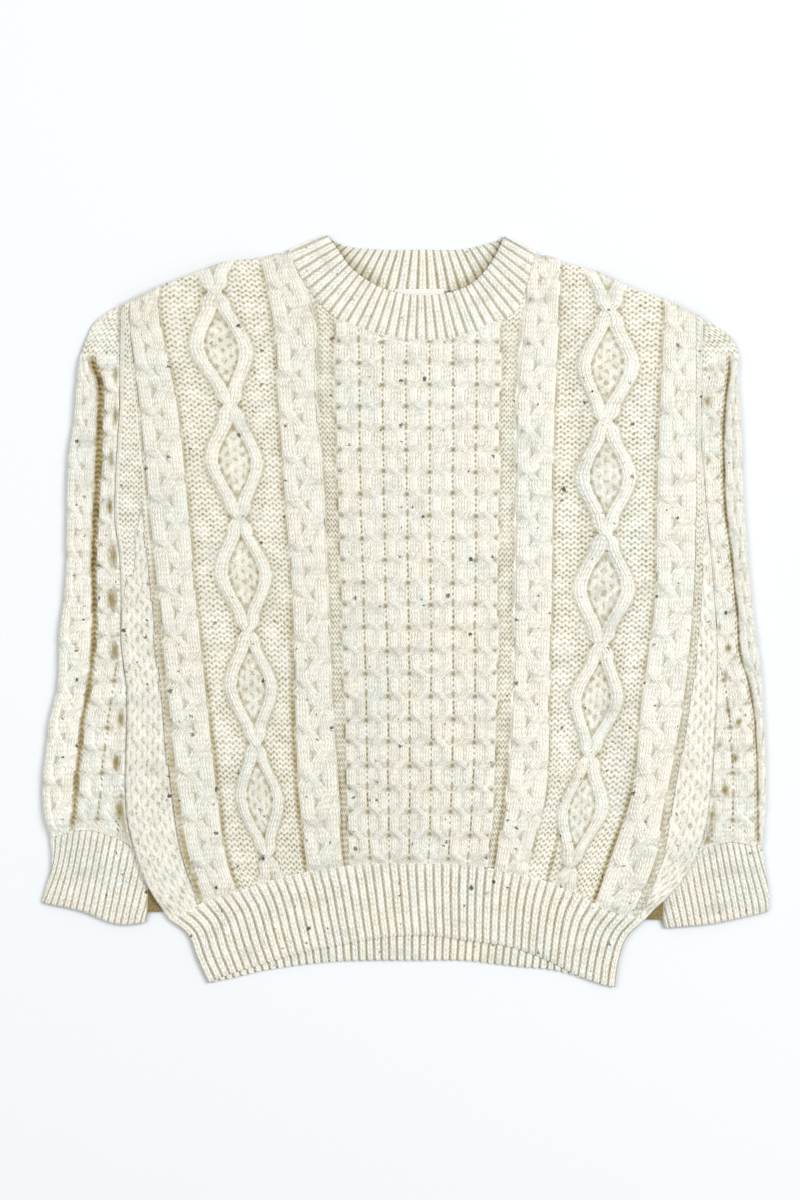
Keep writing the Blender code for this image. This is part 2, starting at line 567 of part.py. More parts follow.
def sleeve(side):
    """A sleeve, folded down along the body: a plait at its fold, a purl gutter and part of a honeycomb,
    which the body's side covers."""
    lines = SLEEVES[side]
    inward = 1 if side == "left" else -1
    first = lines["outer fold"][0][0]
    even = HONEYCOMB_START + 2 * ROW * np.arange(0, 40)
    upper = np.array([0, 0.06, 0.16, 0.3, 0.5, 0.75])
    lower = np.linspace(0, 1, 5)[1:]
    rows = np.concatenate([first + upper * (even[0] - first), even, even[-1] + lower])
    plait_shares = [0, 0.07, 0.3, 0.6, 0.9]
    comb_shares = np.linspace(0, 1, 7)
    under_body, to_fold = 4.0, (5.0, 1.5, 0.0)  # last columns: from the body's edge, and from the inner fold
    columns = len(plait_shares) + len(comb_shares) + 1 + len(to_fold)
    down = np.repeat(rows[:, None], columns, axis=1)
    for _ in range(SETTLE_STEPS):
        outer = smooth(down, lines["outer fold"])
        hidden = hidden_fold(side, down)
        covered = body_side(side, down) - inward * 1.5
        gutter = smooth(down, lines["gutter"])
        gutter = outer + inward * np.maximum((gutter - outer) * inward, 5)
        comb = gutter + inward * 2
        comb_end = comb + inward * np.maximum((covered - comb) * inward, 8)
        parts = [outer[:, i] + share * (gutter - outer)[:, i] for i, share in enumerate(plait_shares)]
        for i, share in enumerate(comb_shares, start=len(parts)):
            parts.append(comb[:, i] + share * (comb_end - comb)[:, i])
        parts.append(comb_end[:, len(parts)] + inward * under_body)
        parts += [hidden[:, i - len(to_fold)] - inward * gap for i, gap in enumerate(to_fold)]
        x = np.stack(parts, axis=1)
        seam = across(lines["cuff seam"], x[-1])
        for i in range(columns):
            down[-len(lower):, i] = even[-1] + lower * (seam[i] - even[-1])
    to_gutter = (gutter - x) * inward / np.maximum(np.abs(gutter - outer), 14)
    plaited = plait(to_gutter * 2 * PLAIT_HALF - 3.4, down) * (to_gutter > 0.1)
    stitch = (x - gutter) * inward / SLEEVE_STITCH - 0.6
    combed = honeycomb(stitch + HONEYCOMB_CELL_STITCHES, down, HONEYCOMB_START - 14) * (stitch > 0)
    gutter_dip = -1.0 * strand(np.abs(x - gutter), 3.5)
    # The relief ends where the body begins to cover the sleeve, and fades toward the shoulder and the cuff
    shown = np.clip(((body_side(side, down) - x) * inward - 1.5) / 3, 0, 1)
    shown = shown * np.clip((down - 100) / 20, 0, 1)
    ends = np.clip((down[-1] - down) / 12, 0.3, 1)
    relief = (0.9 * CABLE * np.maximum(plaited, combed) * ends + gutter_dip) * shown
    middle = SLEEVE_HEIGHT / 2
    from_edge = np.minimum(np.abs(x - outer), np.abs(x - hidden))
    height = middle + (SLEEVE_HEIGHT - middle + relief) * edge_round(from_edge)
    flat_tube(f"sleeve_{side}", x, down, height, inward)


def cuff(side):
    """A sleeve's ribbed cuff, a row of points at each share of its fall from the seam."""
    lines = SLEEVES[side]
    inward = 1 if side == "left" else -1
    share, rib = rib_shares(CUFF_RIBS)
    rows = np.array([(0, 0.8), (0.1, 1), (0.5, 1), (0.93, 0.9), (1, 0.2)])  # share of the fall, of the ribs
    edges = [lines[name] for name in ("cuff seam", "cuff edge", "cuff outer", "cuff inner")]
    spot = ruled(*edges, share, rows[:, 0], 3 * SEAM)
    x, down = spot[..., 0], spot[..., 1]
    # Its ribs are pressed flat where the body's lower corner lies on it
    past_corner = np.clip((618 - down) / 10, 0, 1)
    under_body = past_corner * np.clip(((x - body_side(side, down)) * inward + 9) / 5, 0, 1)
    relief = RIB * (rib[None] - 0.15) * rows[:, 1:] * (1 - under_body)
    middle = SLEEVE_HEIGHT / 2
    from_edge = np.minimum(share, 1 - share) * np.abs(x[0, -1] - x[0, 0])
    height = middle + (SLEEVE_HEIGHT - 0.4 - middle + relief) * edge_round(from_edge, 6)
    height[-1] = np.minimum(height[-1], SLEEVE_HEIGHT - 1.2)
    flat_tube(f"cuff_{side}", x, down, height, inward)


def neckband():
    """A ring of ribbing, pressed flat: its front half lies on its back half, whose inside shows above it."""
    ring = []
    widths = np.array([0.0, 0.07, 0.9, 1.0])  # shares of the band's width, from its seam to its edge
    on_ribs = np.array([0.7, 1, 1, 0.2])  # share of a rib's height there
    edge_drop = np.array([0, 0, 0, 0.6])
    fold_height = NECK_ABOVE - 0.5

    def section(seam, edge, low, high):
        spots = seam + widths[:, None] * (edge - seam)
        outer = [(*s, z) for s, z in zip(spots, high)]
        inner = [(*s, z) for s, z in zip(spots[::-1], low[::-1])]
        ring.append(outer + inner)

    def turn(seam, edge, angles):
        """The fold at a side, from one half to the other."""
        run = edge - seam
        normal = np.array([run[1], -run[0]]) / np.hypot(*run)
        normal = normal if normal[1] < 0 else -normal
        spots = seam + widths[:, None] * run
        outer_reach, inner_reach = NECK_TURNS
        for angle in np.radians(angles):
            reach, rise = math.cos(angle), math.sin(angle)
            outer = [(*(s + normal * outer_reach * reach), fold_height + outer_reach * rise) for s in spots]
            inner = [(*(s + normal * inner_reach * reach), fold_height + 0.15 * rise) for s in spots[::-1]]
            ring.append(outer + inner)

    front, front_rib = rib_shares(NECK_RIBS)
    seams, edges = along(NECK_SEAM, front), along(NECK_EDGE, front)
    for seam, edge, rib in zip(seams, edges, front_rib):
        high = NECK_ABOVE + WALL - 0.2 + RIB * rib * on_ribs - edge_drop
        section(seam, edge, np.full(len(widths), NECK_ABOVE), high)
    turn(seams[-1], edges[-1], (50, 0, -50))
    back, back_rib = rib_shares(BACK_NECK_RIBS)
    seams, edges = along(BACK_NECK_SEAM, back[::-1]), along(BACK_NECK_EDGE, back[::-1])
    for seam, edge, rib in zip(seams, edges, back_rib[::-1]):
        high = NECK_BELOW + 0.9 * RIB * rib * on_ribs - edge_drop
        section(seam, edge, high, np.zeros(len(widths)))
    turn(seams[-1], edges[-1], (-50, 0, 50))
    bm = bmesh.new()
    loops = [[bm.verts.new(spot) for spot in points] for points in ring]
    size = len(ring[0])
    for a, b in zip(loops, loops[1:] + loops[:1]):
        for i in range(size):
            j = (i + 1) % size
            bm.faces.new((a[i], a[j], b[j], b[i]))
    for v in bm.verts:
        v.co = to_metres(*v.co)
    finish("neckband", bm)


def neck_label():
    """A small blank label, sewn to the inside of the back just below the collar."""
    bm = bmesh.new()
    bmesh.ops.create_cube(bm, size=1)
    bmesh.ops.scale(bm, vec=LABEL, verts=bm.verts)
    upright = [e for e in bm.edges if abs(e.verts[0].co.z - e.verts[1].co.z) > 0.1]
    bmesh.ops.bevel(bm, geom=upright, offset=1.5, segments=1, affect="EDGES")
    bmesh.ops.translate(bm, vec=(*LABEL_PLACE, WALL + GAP + LABEL[2] / 2), verts=bm.verts)
    for v in bm.verts:
        v.co = to_metres(*v.co)
    finish("neck_label", bm, LABEL_CLOTH)


def main():
    for obj in list(bpy.data.objects):
        bpy.data.objects.remove(obj)
    collection = bpy.data.collections.new(COLLECTION)
    bpy.context.scene.collection.children.link(collection)
    front_panel()
    back_panel()
    hem_front()
    hem_back()
    for side in SLEEVES:
        sleeve(side)
        cuff(side)
    neckband()
    neck_label()


main()
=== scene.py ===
# %% [markdown]
# # A cable knit sweater, laid flat
#
# A heavy Aran sweater lies on its back, with its sleeves folded down beside it and partly under it. This
# lesson gives it its cloth: the cables, every knitted stitch, and the flecked wool. The imported solids say
# where each panel lies, and we load them first.

# %% Load the solid model
import math
from contextlib import contextmanager
from functools import partial

import bpy
import numpy as np
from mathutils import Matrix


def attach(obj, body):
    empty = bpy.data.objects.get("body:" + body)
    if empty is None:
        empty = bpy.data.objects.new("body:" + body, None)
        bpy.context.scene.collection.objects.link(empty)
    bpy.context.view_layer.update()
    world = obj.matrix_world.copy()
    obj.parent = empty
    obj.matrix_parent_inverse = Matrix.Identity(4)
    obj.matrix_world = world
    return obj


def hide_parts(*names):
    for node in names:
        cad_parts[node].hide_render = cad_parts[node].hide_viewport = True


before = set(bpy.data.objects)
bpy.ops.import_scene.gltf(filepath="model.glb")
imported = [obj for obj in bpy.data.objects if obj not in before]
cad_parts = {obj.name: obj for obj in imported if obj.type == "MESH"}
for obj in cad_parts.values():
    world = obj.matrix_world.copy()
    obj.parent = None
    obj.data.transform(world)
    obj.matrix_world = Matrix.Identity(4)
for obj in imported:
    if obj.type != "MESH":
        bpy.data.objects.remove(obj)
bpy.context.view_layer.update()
bpy.ops.object.select_all(action="DESELECT")

# %% [markdown]
# ## Sizes
#
# A place on the laid sweater is (x, down) in millimetres: x runs across, and down is the distance below the
# highest point of the collar. Knitters count stitches across and rows down, and so do we. The tables say
# where some stitches lie in some rows, because the hem draws the cloth in and it spreads at the shoulders.

# %% Sizes of the cloth
HALF_LENGTH = 340.0
WALL = 2.8  # plain knitted ground
GAP = 0.3  # between two layers of cloth, and between the front and its hem
RIM = 0.8  # what is left of a wall's height at a folded edge
FOLD_RADIUS = 8.0
SHOULDER_RADIUS = 5.0
CABLE = 4.4  # how far a cable stands above the ground
RIB = 1.7  # how far a rib stands above its valley
ROW = 5.04
STITCH = 6.6
SLEEVE_SLOT = 0.6
SLEEVE_HEIGHT = 2 * WALL + SLEEVE_SLOT
LIFT = SLEEVE_HEIGHT + GAP  # how far a folded sleeve raises the body that lies on it
LEVEL, RAMP = 4.0, 30.0  # the body stays level this far beyond a sleeve's inner fold, then comes down
LOWER_END = (600.0, 612.0)  # between these the raised body comes down again
INNER = WALL + GAP  # height of the front's inner face, where no sleeve lies below

# The body's folded side edges: down, left x, right x
BODY_SIDES = [
    (0, -256, 268), (70, -256, 268), (121, -257, 267), (156, -257, 266), (189, -259, 266), (226, -261, 269),
    (263, -261, 272), (283, -258, 274), (318, -256, 277), (367, -256, 280), (412, -251, 280),
    (452, -251, 278), (499, -252, 275), (531, -250, 271), (556, -244, 264), (585, -234, 248),
    (602, -224, 232), (614, -217, 221), (620, -213, 215.5),
]
# The front's columns, as stitches counted from its middle: outer plaits at 36 to 42, diamonds round 29,
# inner plaits at 16 to 22 and the honeycomb inside 14
COLUMN_STITCHES = [-42, -36, -29, -22, -16, -14, 14, 16, 22, 29, 36, 42]
HONEYCOMB_EDGE = 14
# Where those stitches lie in some rows: down, then x of each
COLUMN_PLACES = [
    (25, -248, -222, -174, -129, -101, -68, 84, 109, 139, 180, 235, 261),
    (70, -248, -222, -170, -120, -85, -64, 85, 108, 138, 182, 234, 261),
    (151, -239, -207, -158, -114, -81, -63, 85, 101, 134, 180, 230, 261),
    (241, -230, -197, -151, -108, -74, -61, 84, 100, 132, 180, 227, 261),
    (331, -221, -189, -144, -101, -70, -58, 83, 99, 131, 178, 225, 258),
    (421, -212, -180, -138, -99, -67, -55, 82, 97, 129, 172, 213, 249),
    (511, -202, -170, -131, -95, -60, -53, 79, 91, 125, 159, 203, 233),
    (565, -193, -162, -124, -89, -57, -50, 74, 82, 112, 150, 185, 223),
    (614, -176, -145, -112, -81, -52, -45, 68, 74, 102, 135, 168, 204),
]
# Outlines as (down, x), from left to right
LEFT_SHOULDER = [
    (70, -256), (63, -252), (48, -221), (36, -189), (26, -163), (24, -140), (18, -117), (14, -107),
]
RIGHT_SHOULDER = [(17, 120), (20, 130), (27, 143), (35, 173), (51, 206), (61, 237), (75, 264), (79, 268)]
NECK_LEFT, NECK_RIGHT = LEFT_SHOULDER[-1][1], RIGHT_SHOULDER[0][1]
NECK_SEAM = [
    (17.5, -104.5), (36, -96), (55, -84), (75, -65), (88, -36), (95, -6), (97, 19), (95, 45),
    (82, 78), (69, 101), (52, 108), (36, 112.5), (20, 117),
]
NECK_EDGE = [
    (3.5, -70), (12, -63), (30, -50), (49, -22), (56, 11), (55, 31), (45, 60), (25, 78), (4.5, 88.5),
]
BACK_NECK_SEAM = [
    (17.5, -104.5), (33, -88), (47, -60), (52, -20), (52, 40), (46, 80), (32, 104), (20, 117),
]
BACK_NECK_EDGE = [(3.5, -70), (9, -60), (14, -28), (14.5, 13), (13, 58), (7, 80), (4.5, 88.5)]
HEM_SEAM = [
    (620, -213), (611.5, -196), (602, -178), (594, -149), (585, -123), (577, -89), (572, -58), (569, -5),
    (569, 32), (572, 69), (579, 99), (585, 126), (594, 150), (610, 180), (616, 202), (620, 215.5),
]
HEM_EDGE = [
    (676, -178), (671, -166), (660, -131), (650, -97), (644, -68), (638, -36), (634, -5), (634, 25),
    (638, 54), (645, 99), (653, 121), (672, 162), (678, 180), (680, 189),
]
BACK_HEM_EDGE = [
    (676, -178), (674, -166), (666, -131), (661, -97), (658, -68), (657, -36), (657, 9), (657, 54),
    (662, 99), (666, 139), (678, 180), (680, 189),
]
HEM_LEFT = [(620, -213), (631, -198), (657, -187), (676, -178)]
HEM_RIGHT = [(620, 215.5), (635, 200), (658, 192), (680, 189)]
# Each sleeve: its outer fold, the purl gutter between its plait and its honeycomb, and its cuff
SLEEVES = {
    "left": {
        "outer fold": [
            (66, -261), (78, -278), (95, -288), (108, -293), (133, -297), (171, -300), (196, -304),
            (250, -306), (313, -307), (365, -313), (405, -314), (442, -322), (468, -325), (503, -328),
            (531, -325), (545, -321),
        ],
        "gutter": [
            (66, -262), (95, -278), (116, -282), (133, -276), (171, -276), (225, -278), (262, -280),
            (306, -281), (367, -281), (411, -286), (442, -291), (468, -294), (499, -297), (545, -302),
        ],
        "hidden fold": [(66, -160), (600, -228)],
        "cuff seam": [(545, -321), (538, -288), (549, -253), (562, -232)],
        "cuff edge": [(604, -328), (611, -295), (624, -255), (622, -235)],
        "cuff outer": [(545, -321), (562, -319), (604, -328)],
        "cuff inner": [(570, -232), (603, -233), (622, -235)],
    },
    "right": {
        "outer fold": [
            (80, 274), (92, 292), (101, 298), (133, 300), (171, 303), (250, 306), (275, 308), (313, 311),
            (351, 315), (393, 321), (432, 323), (472, 325), (512, 325), (554, 322),
        ],
        "gutter": [
            (80, 274), (101, 290), (123, 292), (145, 289), (171, 287), (225, 287), (250, 288), (275, 292),
            (313, 296), (344, 299), (385, 303), (400, 308), (432, 314), (459, 316), (554, 318),
        ],
        "hidden fold": [(66, 165), (600, 230)],
        "cuff seam": [(554, 322), (549, 290), (560, 259), (580, 234)],
        "cuff edge": [(612, 327), (617, 305), (622, 282), (627, 234)],
        "cuff outer": [(554, 322), (569, 324), (603, 328), (612, 327)],
        "cuff inner": [(580, 234), (603, 233), (627, 234)],
    },
}
CUFF_RIBS = 16
CUFF_SLANT = 1.7  # ribs that a cuff's fold hides on their way down
HEM_RIBS = 54
NECK_RIBS = 32
BACK_NECK_RIBS = 25
CUFF_LENGTH, HEM_LENGTH, NECK_DEPTH = 60, 65, 40
RIB_ROW, HEM_ROW = 4.4, 4.6
NECK_ABOVE, NECK_BELOW = 4.5, 2.5  # height of the inner face of the collar's front half, and back half
SETTLE_STEPS = 6
INWARD = {"left": 1, "right": -1}  # which way x runs from a side to the middle
print("the front takes", COLUMN_STITCHES[-1] - COLUMN_STITCHES[0], "stitches from plait to plait")

# %% [markdown]
# ## Lines and edges
#
# Every edge of a panel is a smooth curve through a few places. `smooth` reads such a curve, and the other
# helpers use it: for a line's points at even shares of its length, for a line moved sideways, or for how far
# down a line lies at some x. `lift` says how far a hidden sleeve raises the body's cloth.


# %% Curves through short tables
def unit(value):
    """The value, kept from 0 to 1."""
    return np.clip(value, 0, 1)


def even(count):
    """This many even shares from 0 to 1."""
    return np.linspace(0, 1, count)


def bell(distance, width):
    """1 at no distance, falling to 0 on both sides."""
    return np.exp(-((distance / width) ** 2))


def smooth(at, table, column=1):
    """A smooth curve through one column of a table whose first column rises."""
    knots = np.array([row[0] for row in table], float)
    values = np.array([row[column] for row in table], float)
    slopes = np.gradient(values, knots)
    at = np.clip(at, knots[0], knots[-1])
    i = np.clip(np.searchsorted(knots, at, side="right") - 1, 0, len(knots) - 2)
    width = knots[i + 1] - knots[i]
    t = (at - knots[i]) / width
    rise = values[i + 1] - values[i]
    a = slopes[i] * width - rise
    b = -slopes[i + 1] * width + rise
    return values[i] + t * rise + t * (1 - t) * (a * (1 - t) + b * t)


def along(points, share):
    """Places at these shares of the length of a smooth line through (down, x) points: (x, down)."""
    steps = np.hypot(*np.diff(np.array(points, float), axis=0).T)
    length = np.concatenate([[0], np.cumsum(steps)]) / steps.sum()
    x = smooth(share, list(zip(length, [p[1] for p in points])))
    down = smooth(share, list(zip(length, [p[0] for p in points])))
    return np.stack([x, down], axis=-1)


def across(points, x):
    """How far down the line through these points lies at x."""
    return smooth(x, sorted((p[1], p[0]) for p in points))


def straight_shares(points, share, push):
    """Places on this line at even steps of x between its ends, moved down by push: (x, down)."""
    x = points[0][1] + share * (points[-1][1] - points[0][1])
    return np.stack([x, across(points, x) + push], axis=-1)


def pushed(points, distance):
    """The line moved to its right-hand side, which is away from the collar."""
    p = along(points, even(60))
    direction = np.gradient(p, axis=0)
    direction /= np.hypot(*direction.T)[:, None]
    p = p + distance * np.stack([-direction[:, 1], direction[:, 0]], axis=1)
    return [(down, x) for x, down in p]


def ease(t):
    """From 0 to 1 with soft ends."""
    t = unit(t)
    return t * t * (3 - 2 * t)


def rows_between(top, bottom, rows, columns):
    """How far down each point of a grid lies, in even steps from its top to its bottom."""
    return top + even(rows)[:, None] * (bottom - top) + np.zeros(columns)


def edge_round(distance, radius=FOLD_RADIUS):
    """From 0 at a folded edge to 1 inside, as a quarter circle."""
    return np.sqrt(unit(1 - (1 - unit(distance / radius)) ** 2))


def body_side(side, down):
    return smooth(down, BODY_SIDES, 1 if side == "left" else 2)


def hidden_fold(side, down):
    """x of a sleeve's inner fold, a straight line under the body."""
    (top, x_top), (bottom, x_bottom) = SLEEVES[side]["hidden fold"]
    return x_top + (x_bottom - x_top) * (down - top) / (bottom - top)


def lift(x, down, soft=False):
    """How far the sleeves raise the body's cloth: flat over a sleeve, then slopes, even or soft."""
    x, down = np.asarray(x, float), np.asarray(down, float)
    lower = (LOWER_END[1] - down) / (LOWER_END[1] - LOWER_END[0])
    raised = np.zeros(np.broadcast(x, down).shape)
    for side, inward in INWARD.items():
        slope = 1 - ((x - hidden_fold(side, down)) * inward - LEVEL) / RAMP
        raised = np.maximum(raised, unit(np.minimum(slope, lower)))
    return LIFT * (ease(raised) if soft else raised)


def to_space(x, down, height):
    """Points in metres, in the solids' frame."""
    return np.stack([x, HALF_LENGTH - down, height], axis=-1) * 0.001


print("the hem seam at the middle lies", round(float(across(HEM_SEAM, 0.0))), "mm below the collar")

# %% [markdown]
# ## Stitches
#
# The right side of a knit stitch is a V of two legs, and its wrong side is a small bump across. A cable is
# two stitches wide and runs over its neighbours, and its own V's follow it. So each point of the cloth needs
# four facts: how far it is raised, its place across and along its own column of stitches, whether it shows
# the wrong side, and how dark the shade painted in its crevice or groove is. `cloth` is a small dictionary
# of those as arrays.


# %% Relief of single stitches
LEG_SLANT = 0.85  # rows that a leg rises from its V's point to its top
KNIT_RELIEF = 0.85
PURL_RELIEF = 0.6
MOSS_RELIEF = 1.0
CHAIN_SWING = 0.22  # rows that a purl row's line swings up and down
STRAND_TOP = 2.4  # the higher, the flatter is a strand's top
KNIT, PURL, MOSS = 0, 1, 2  # what shows at a point


def irregular(x, down, seed):
    """From -1 to 1 in slow uneven waves, because no hand-knitted row or column is ruled."""
    waves = ((0.071, 0.043, 1.0), (-0.105, 0.033, 2.1), (0.051, 0.127, 3.7), (0.19, -0.08, 5.3))
    return sum(np.sin(a * x + b * down + shift * seed) for a, b, shift in waves) / len(waves)


def knit_stitches(u, v):
    """From 0 to 1: two slanting legs in each stitch, one V above the other."""
    side = np.abs(u % 1 - 0.5) * 2
    leg = unit(1 - (2 * side - 1) ** 2) ** 0.8
    turn = (v + LEG_SLANT * side) % 1
    link = unit(1 - (2 * turn - 1) ** 2) ** 0.5
    return leg * (0.5 + 0.5 * link)


def purl_stitches(u, v):
    """From 0 to 1: rows of bumps. The line between them swings with every stitch, deepest where it turns."""
    swing = np.cos(2 * np.pi * u)
    line = np.abs(np.sin(np.pi * (v + CHAIN_SWING * swing)))
    return 1 - (1 - line) * (0.3 + 0.7 * swing**2)


def moss_stitches(u, v):
    """From 0 to 1: knit and purl by turns, across and down."""
    return 0.5 + 0.5 * np.cos(np.pi * u) * np.cos(np.pi * v)


def rows_of(down):
    """Row numbers, from the first crossing of the honeycomb. Rows are a little closer near the shoulders."""
    first, last, closer = 117.0, 480.0, 0.75
    return (down - first) / ROW + closer * np.sin(np.pi * (down - first) / (last - first))


def plain_ground(stitch, row):
    """Cloth with its wrong side out, and no cable on it."""
    zero = np.zeros(np.broadcast(stitch, row).shape)
    return {"rise": zero, "u": stitch + zero, "v": row + zero, "side": zero + PURL, "groove": zero}


# A groove's painted shade: where two are painted on one point, the darker one stays.
def deepen_shade(cloth, groove):
    cloth["groove"] = np.maximum(cloth["groove"], groove)


def change(cloth, where, **values):
    """Writes these facts where the mask is true."""
    for key, value in values.items():
        cloth[key] = np.where(where, value, cloth[key])


def laid_over(cloth, level, place, half_width, where, number):
    """Lays a strand of two stitches over the cloth: place is the distance from its middle in stitches, and
    number is a whole one near the stitch that it runs along."""
    share = unit(np.abs(place / half_width))
    height = level * (1 - share**STRAND_TOP)
    over = where & (share < 1) & (height > cloth["rise"])
    change(cloth, over, rise=height, u=place + number, side=KNIT, groove=0)


print("a stitch is", STITCH, "by", ROW, "mm")

# %% [markdown]
# ## Cables
#
# Three traditional cables share the front. In a honeycomb, strands swing apart and together, and a hollow
# cell opens wherever two of them part. In a plait, three strands cross by turns, each over the middle on its
# way in. The diamonds are two strands that cross, part round a field of moss stitch, and meet again. The
# first two are worked out from the row number, so that every crossing falls where a knitter would make it.

# %% Honeycomb, plait and diamonds
CELL = 4  # stitches from one dotted line to the next
CELL_ROWS = 8
CELL_SWING = 1.5  # more than 1, so that strands lie still for some rows
CELL_HOLLOW = 0.16  # how far a hollow cell lowers what is under its strands
CELL_MARKS = [  # painted shade in holes: strength, rows below the top of a hollow cell, rows high, stitches wide
    (0.85, 0.1, 0.42, 0.42), (0.8, 3.5, 0.55, 0.24),
]
PLAIT_ROWS = 8
PLAIT_SWING = 1.9  # stitches from a plait's middle to its outer strands
PLAIT_OVER, PLAIT_UNDER = (0, 12, 24), (4, 16)  # rows in which a strand crosses over others, or under
PLAIT_MOVES = (0, 4, 12, 16)  # rows in which it moves: twice to the right, then twice back
CROSSING_ROWS = 3.4
PLAITS = {-39: 1.5, -19: 2.2, 19: 4.5, 39: 1.5}  # middle stitch: rows from the first honeycomb crossing
DIAMONDS = {-29: (54.0, 101.5), 29: (70.0, 100.2)}  # middle stitch: first crossing, length of one diamond
DIAMOND_STRAND = 0.98  # half a strand's width, in stitches
DIAMOND_SHAPE = [  # share of the half length, stitches from the middle
    (0, 0), (0.08, 0.5), (0.16, 0.75), (0.3, 0.95), (0.45, 1.5), (0.65, 2.3), (0.85, 2.9), (1, 3.1),
]


def honeycomb(cloth, stitch, row, inside, hollow):
    """Adds a honeycomb whose dotted lines lie at multiples of CELL stitches. hollow, from 0 to 1, says how
    deep its cells are: stretched cloth hardly has any."""
    cell = np.floor(stitch / CELL)
    local = stitch - CELL * (cell + 0.5)
    side = np.where(cell % 2 == 0, 1, -1)
    place = np.clip(-CELL_SWING * np.sin(2 * np.pi * row / CELL_ROWS), -1, 1) * side
    under = 0.66 - CELL_HOLLOW * hollow
    number = CELL * cell + CELL // 2
    within = inside & (stitch > 1) & (stitch < 2 * HONEYCOMB_EDGE - 1)
    change(cloth, within, rise=under - 0.1, side=KNIT, u=local + place + number)
    laid_over(cloth, under, local + place, 1.25, inside, number)
    laid_over(cloth, 0.92 + 0.08 * hollow, local - place, 1.2, inside, number)
    # Holes along each dotted line: lowered a little, and painted with shade.
    line = np.round(stitch / CELL)
    to_line = np.abs(stitch - CELL * line)
    below_top = row + np.where(line % 2 == 0, CELL_ROWS / 2, 0)  # of this line's hollow cell
    marks = bell(to_line, 0.16) * (0.1 + 0.75 * (0.5 + 0.5 * np.cos(2 * np.pi * row)) ** 2)
    for strength, at, rows, width in CELL_MARKS:
        apart = (below_top - at + CELL_ROWS / 2) % CELL_ROWS - CELL_ROWS / 2
        marks = np.maximum(marks, strength * bell(apart, rows) * bell(to_line, width))
    marks = marks * within
    cloth["rise"] = cloth["rise"] * (1 - 0.45 * marks)
    deepen_shade(cloth, marks)


def plait(cloth, place, row, inside, number=0):
    """Adds a plait of three strands round place 0. Each lies over the next on its way to the middle."""
    laid_over(cloth, 0.54, place, 3.1, inside, number)
    for strand in range(3):
        half = CROSSING_ROWS / 2
        at = (row + PLAIT_ROWS * strand + half) % (3 * PLAIT_ROWS) - half
        moves = [ease((at - start) / CROSSING_ROWS + 0.5) for start in PLAIT_MOVES]
        middle = -PLAIT_SWING + PLAIT_SWING * (moves[0] + moves[1] - moves[2] - moves[3])
        inward = sum(bell(at - start, CROSSING_ROWS) for start in PLAIT_OVER)
        outward = sum(bell(at - start, CROSSING_ROWS) for start in PLAIT_UNDER)
        laid_over(cloth, 0.84 + 0.16 * inward - 0.16 * outward, place - middle, 1.5, inside, number)
    # Painted shade between the strands where they part, near the plait's middle.
    gap = 0.22 * unit((0.66 - cloth["rise"]) / 0.14) * np.exp(-((place / 1.2) ** 4))
    deepen_shade(cloth, gap * inside)


def diamonds(cloth, place, down, first, length, inside, number):
    """Adds two strands that cross every length, with moss stitch between them."""
    turn = (down - first) / length
    share = np.abs((turn + 0.5) % 1 - 0.5) * 2
    apart = smooth(share, DIAMOND_SHAPE) * np.where(np.floor(turn) % 2 == 0, 1, -1)
    change(cloth, inside & (np.abs(place) < np.abs(apart)), rise=0.12, side=MOSS)
    near = 0.1 * bell(share, 0.15)
    laid_over(cloth, 0.76 - near, place + apart, DIAMOND_STRAND, inside, number)
    laid_over(cloth, 0.78 + near, place - apart, DIAMOND_STRAND, inside, number)
    # Painted shade over the moss stitch, darker at the strands' feet.
    foot = bell(np.abs(apart) - np.abs(place) - 0.85, 0.35)
    deepen_shade(cloth, (0.05 + 0.25 * foot) * (cloth["side"] == MOSS))


def finished(cloth):
    """Height in millimetres above the ground, with every stitch."""
    u, v, side = cloth["u"], cloth["v"], cloth["side"]
    knit = KNIT_RELIEF * (knit_stitches(u, v) - 0.5)
    purl = PURL_RELIEF * (purl_stitches(u, v) - 0.6)
    moss = MOSS_RELIEF * (moss_stitches(u, v) - 0.5)
    return CABLE * cloth["rise"] + np.where(side == KNIT, knit, np.where(side == MOSS, moss, purl))


print("a plait repeats every", 3 * PLAIT_ROWS, "rows, and crosses every", PLAIT_ROWS // 2)

# %% [markdown]
# ## A closed sheet of cloth
#
# Each flat panel is a grid primitive. Its points are moved to their places in code, because a stitch sits
# where its row and its column cross. In edit mode its border is extruded to the underside and filled there,
# and the underside is bisected where the cloth bends to lie on the sleeves. Beside a folded edge the grid
# goes round the fold and under it, so that the edge is round from the side too.

# %% A grid that becomes closed cloth
FOLD_UNDER = [(3.2, 0.0), (1.3, 0.04), (0.3, 0.4)]  # how far in, and share of the edge's height
UNDER_FOLD = 0.25  # how high cloth lies under a fold
LEAST_STEP = 0.05  # between columns that are drawn in


def soften(field, reach):
    """The field's mean over a square of 2 * reach + 1 points, two times over."""
    for _ in range(2):
        for axis in (0, 1):
            pad = [(reach + 1, reach) if a == axis else (0, 0) for a in (0, 1)]
            total = np.cumsum(np.pad(field, pad, mode="edge"), axis=axis)
            width = 2 * reach + 1
            total = total.T if axis else total
            field = (total[width:] - total[:-width]) / width
            field = field.T if axis else field
    return field


def crevice_shading(rise, groove, shade, reach=3):
    """Painted shade, from 0 on open cloth to 1 in a crevice, and more in a hole: how far a point lies below
    those around it, times shade, plus the shade painted along its groove."""
    below = unit((soften(rise, reach) - rise - 0.1) / 1.8)
    return np.clip(shade * below + groove, 0, 1.6)


def meetings(u):
    """1 on both sides of each line where two strands meet, so that stitches aren't drawn across it."""
    met = np.zeros(u.shape, bool)
    for axis in (0, 1):
        jump = np.abs(np.diff(u, axis=axis)) > 0.7
        edge = np.zeros_like(jump.take([0], axis))
        met |= np.concatenate([jump, edge], axis) | np.concatenate([edge, jump], axis)
    return met * 1.0


FACTS = ("u", "v", "side", "crevice", "meeting")


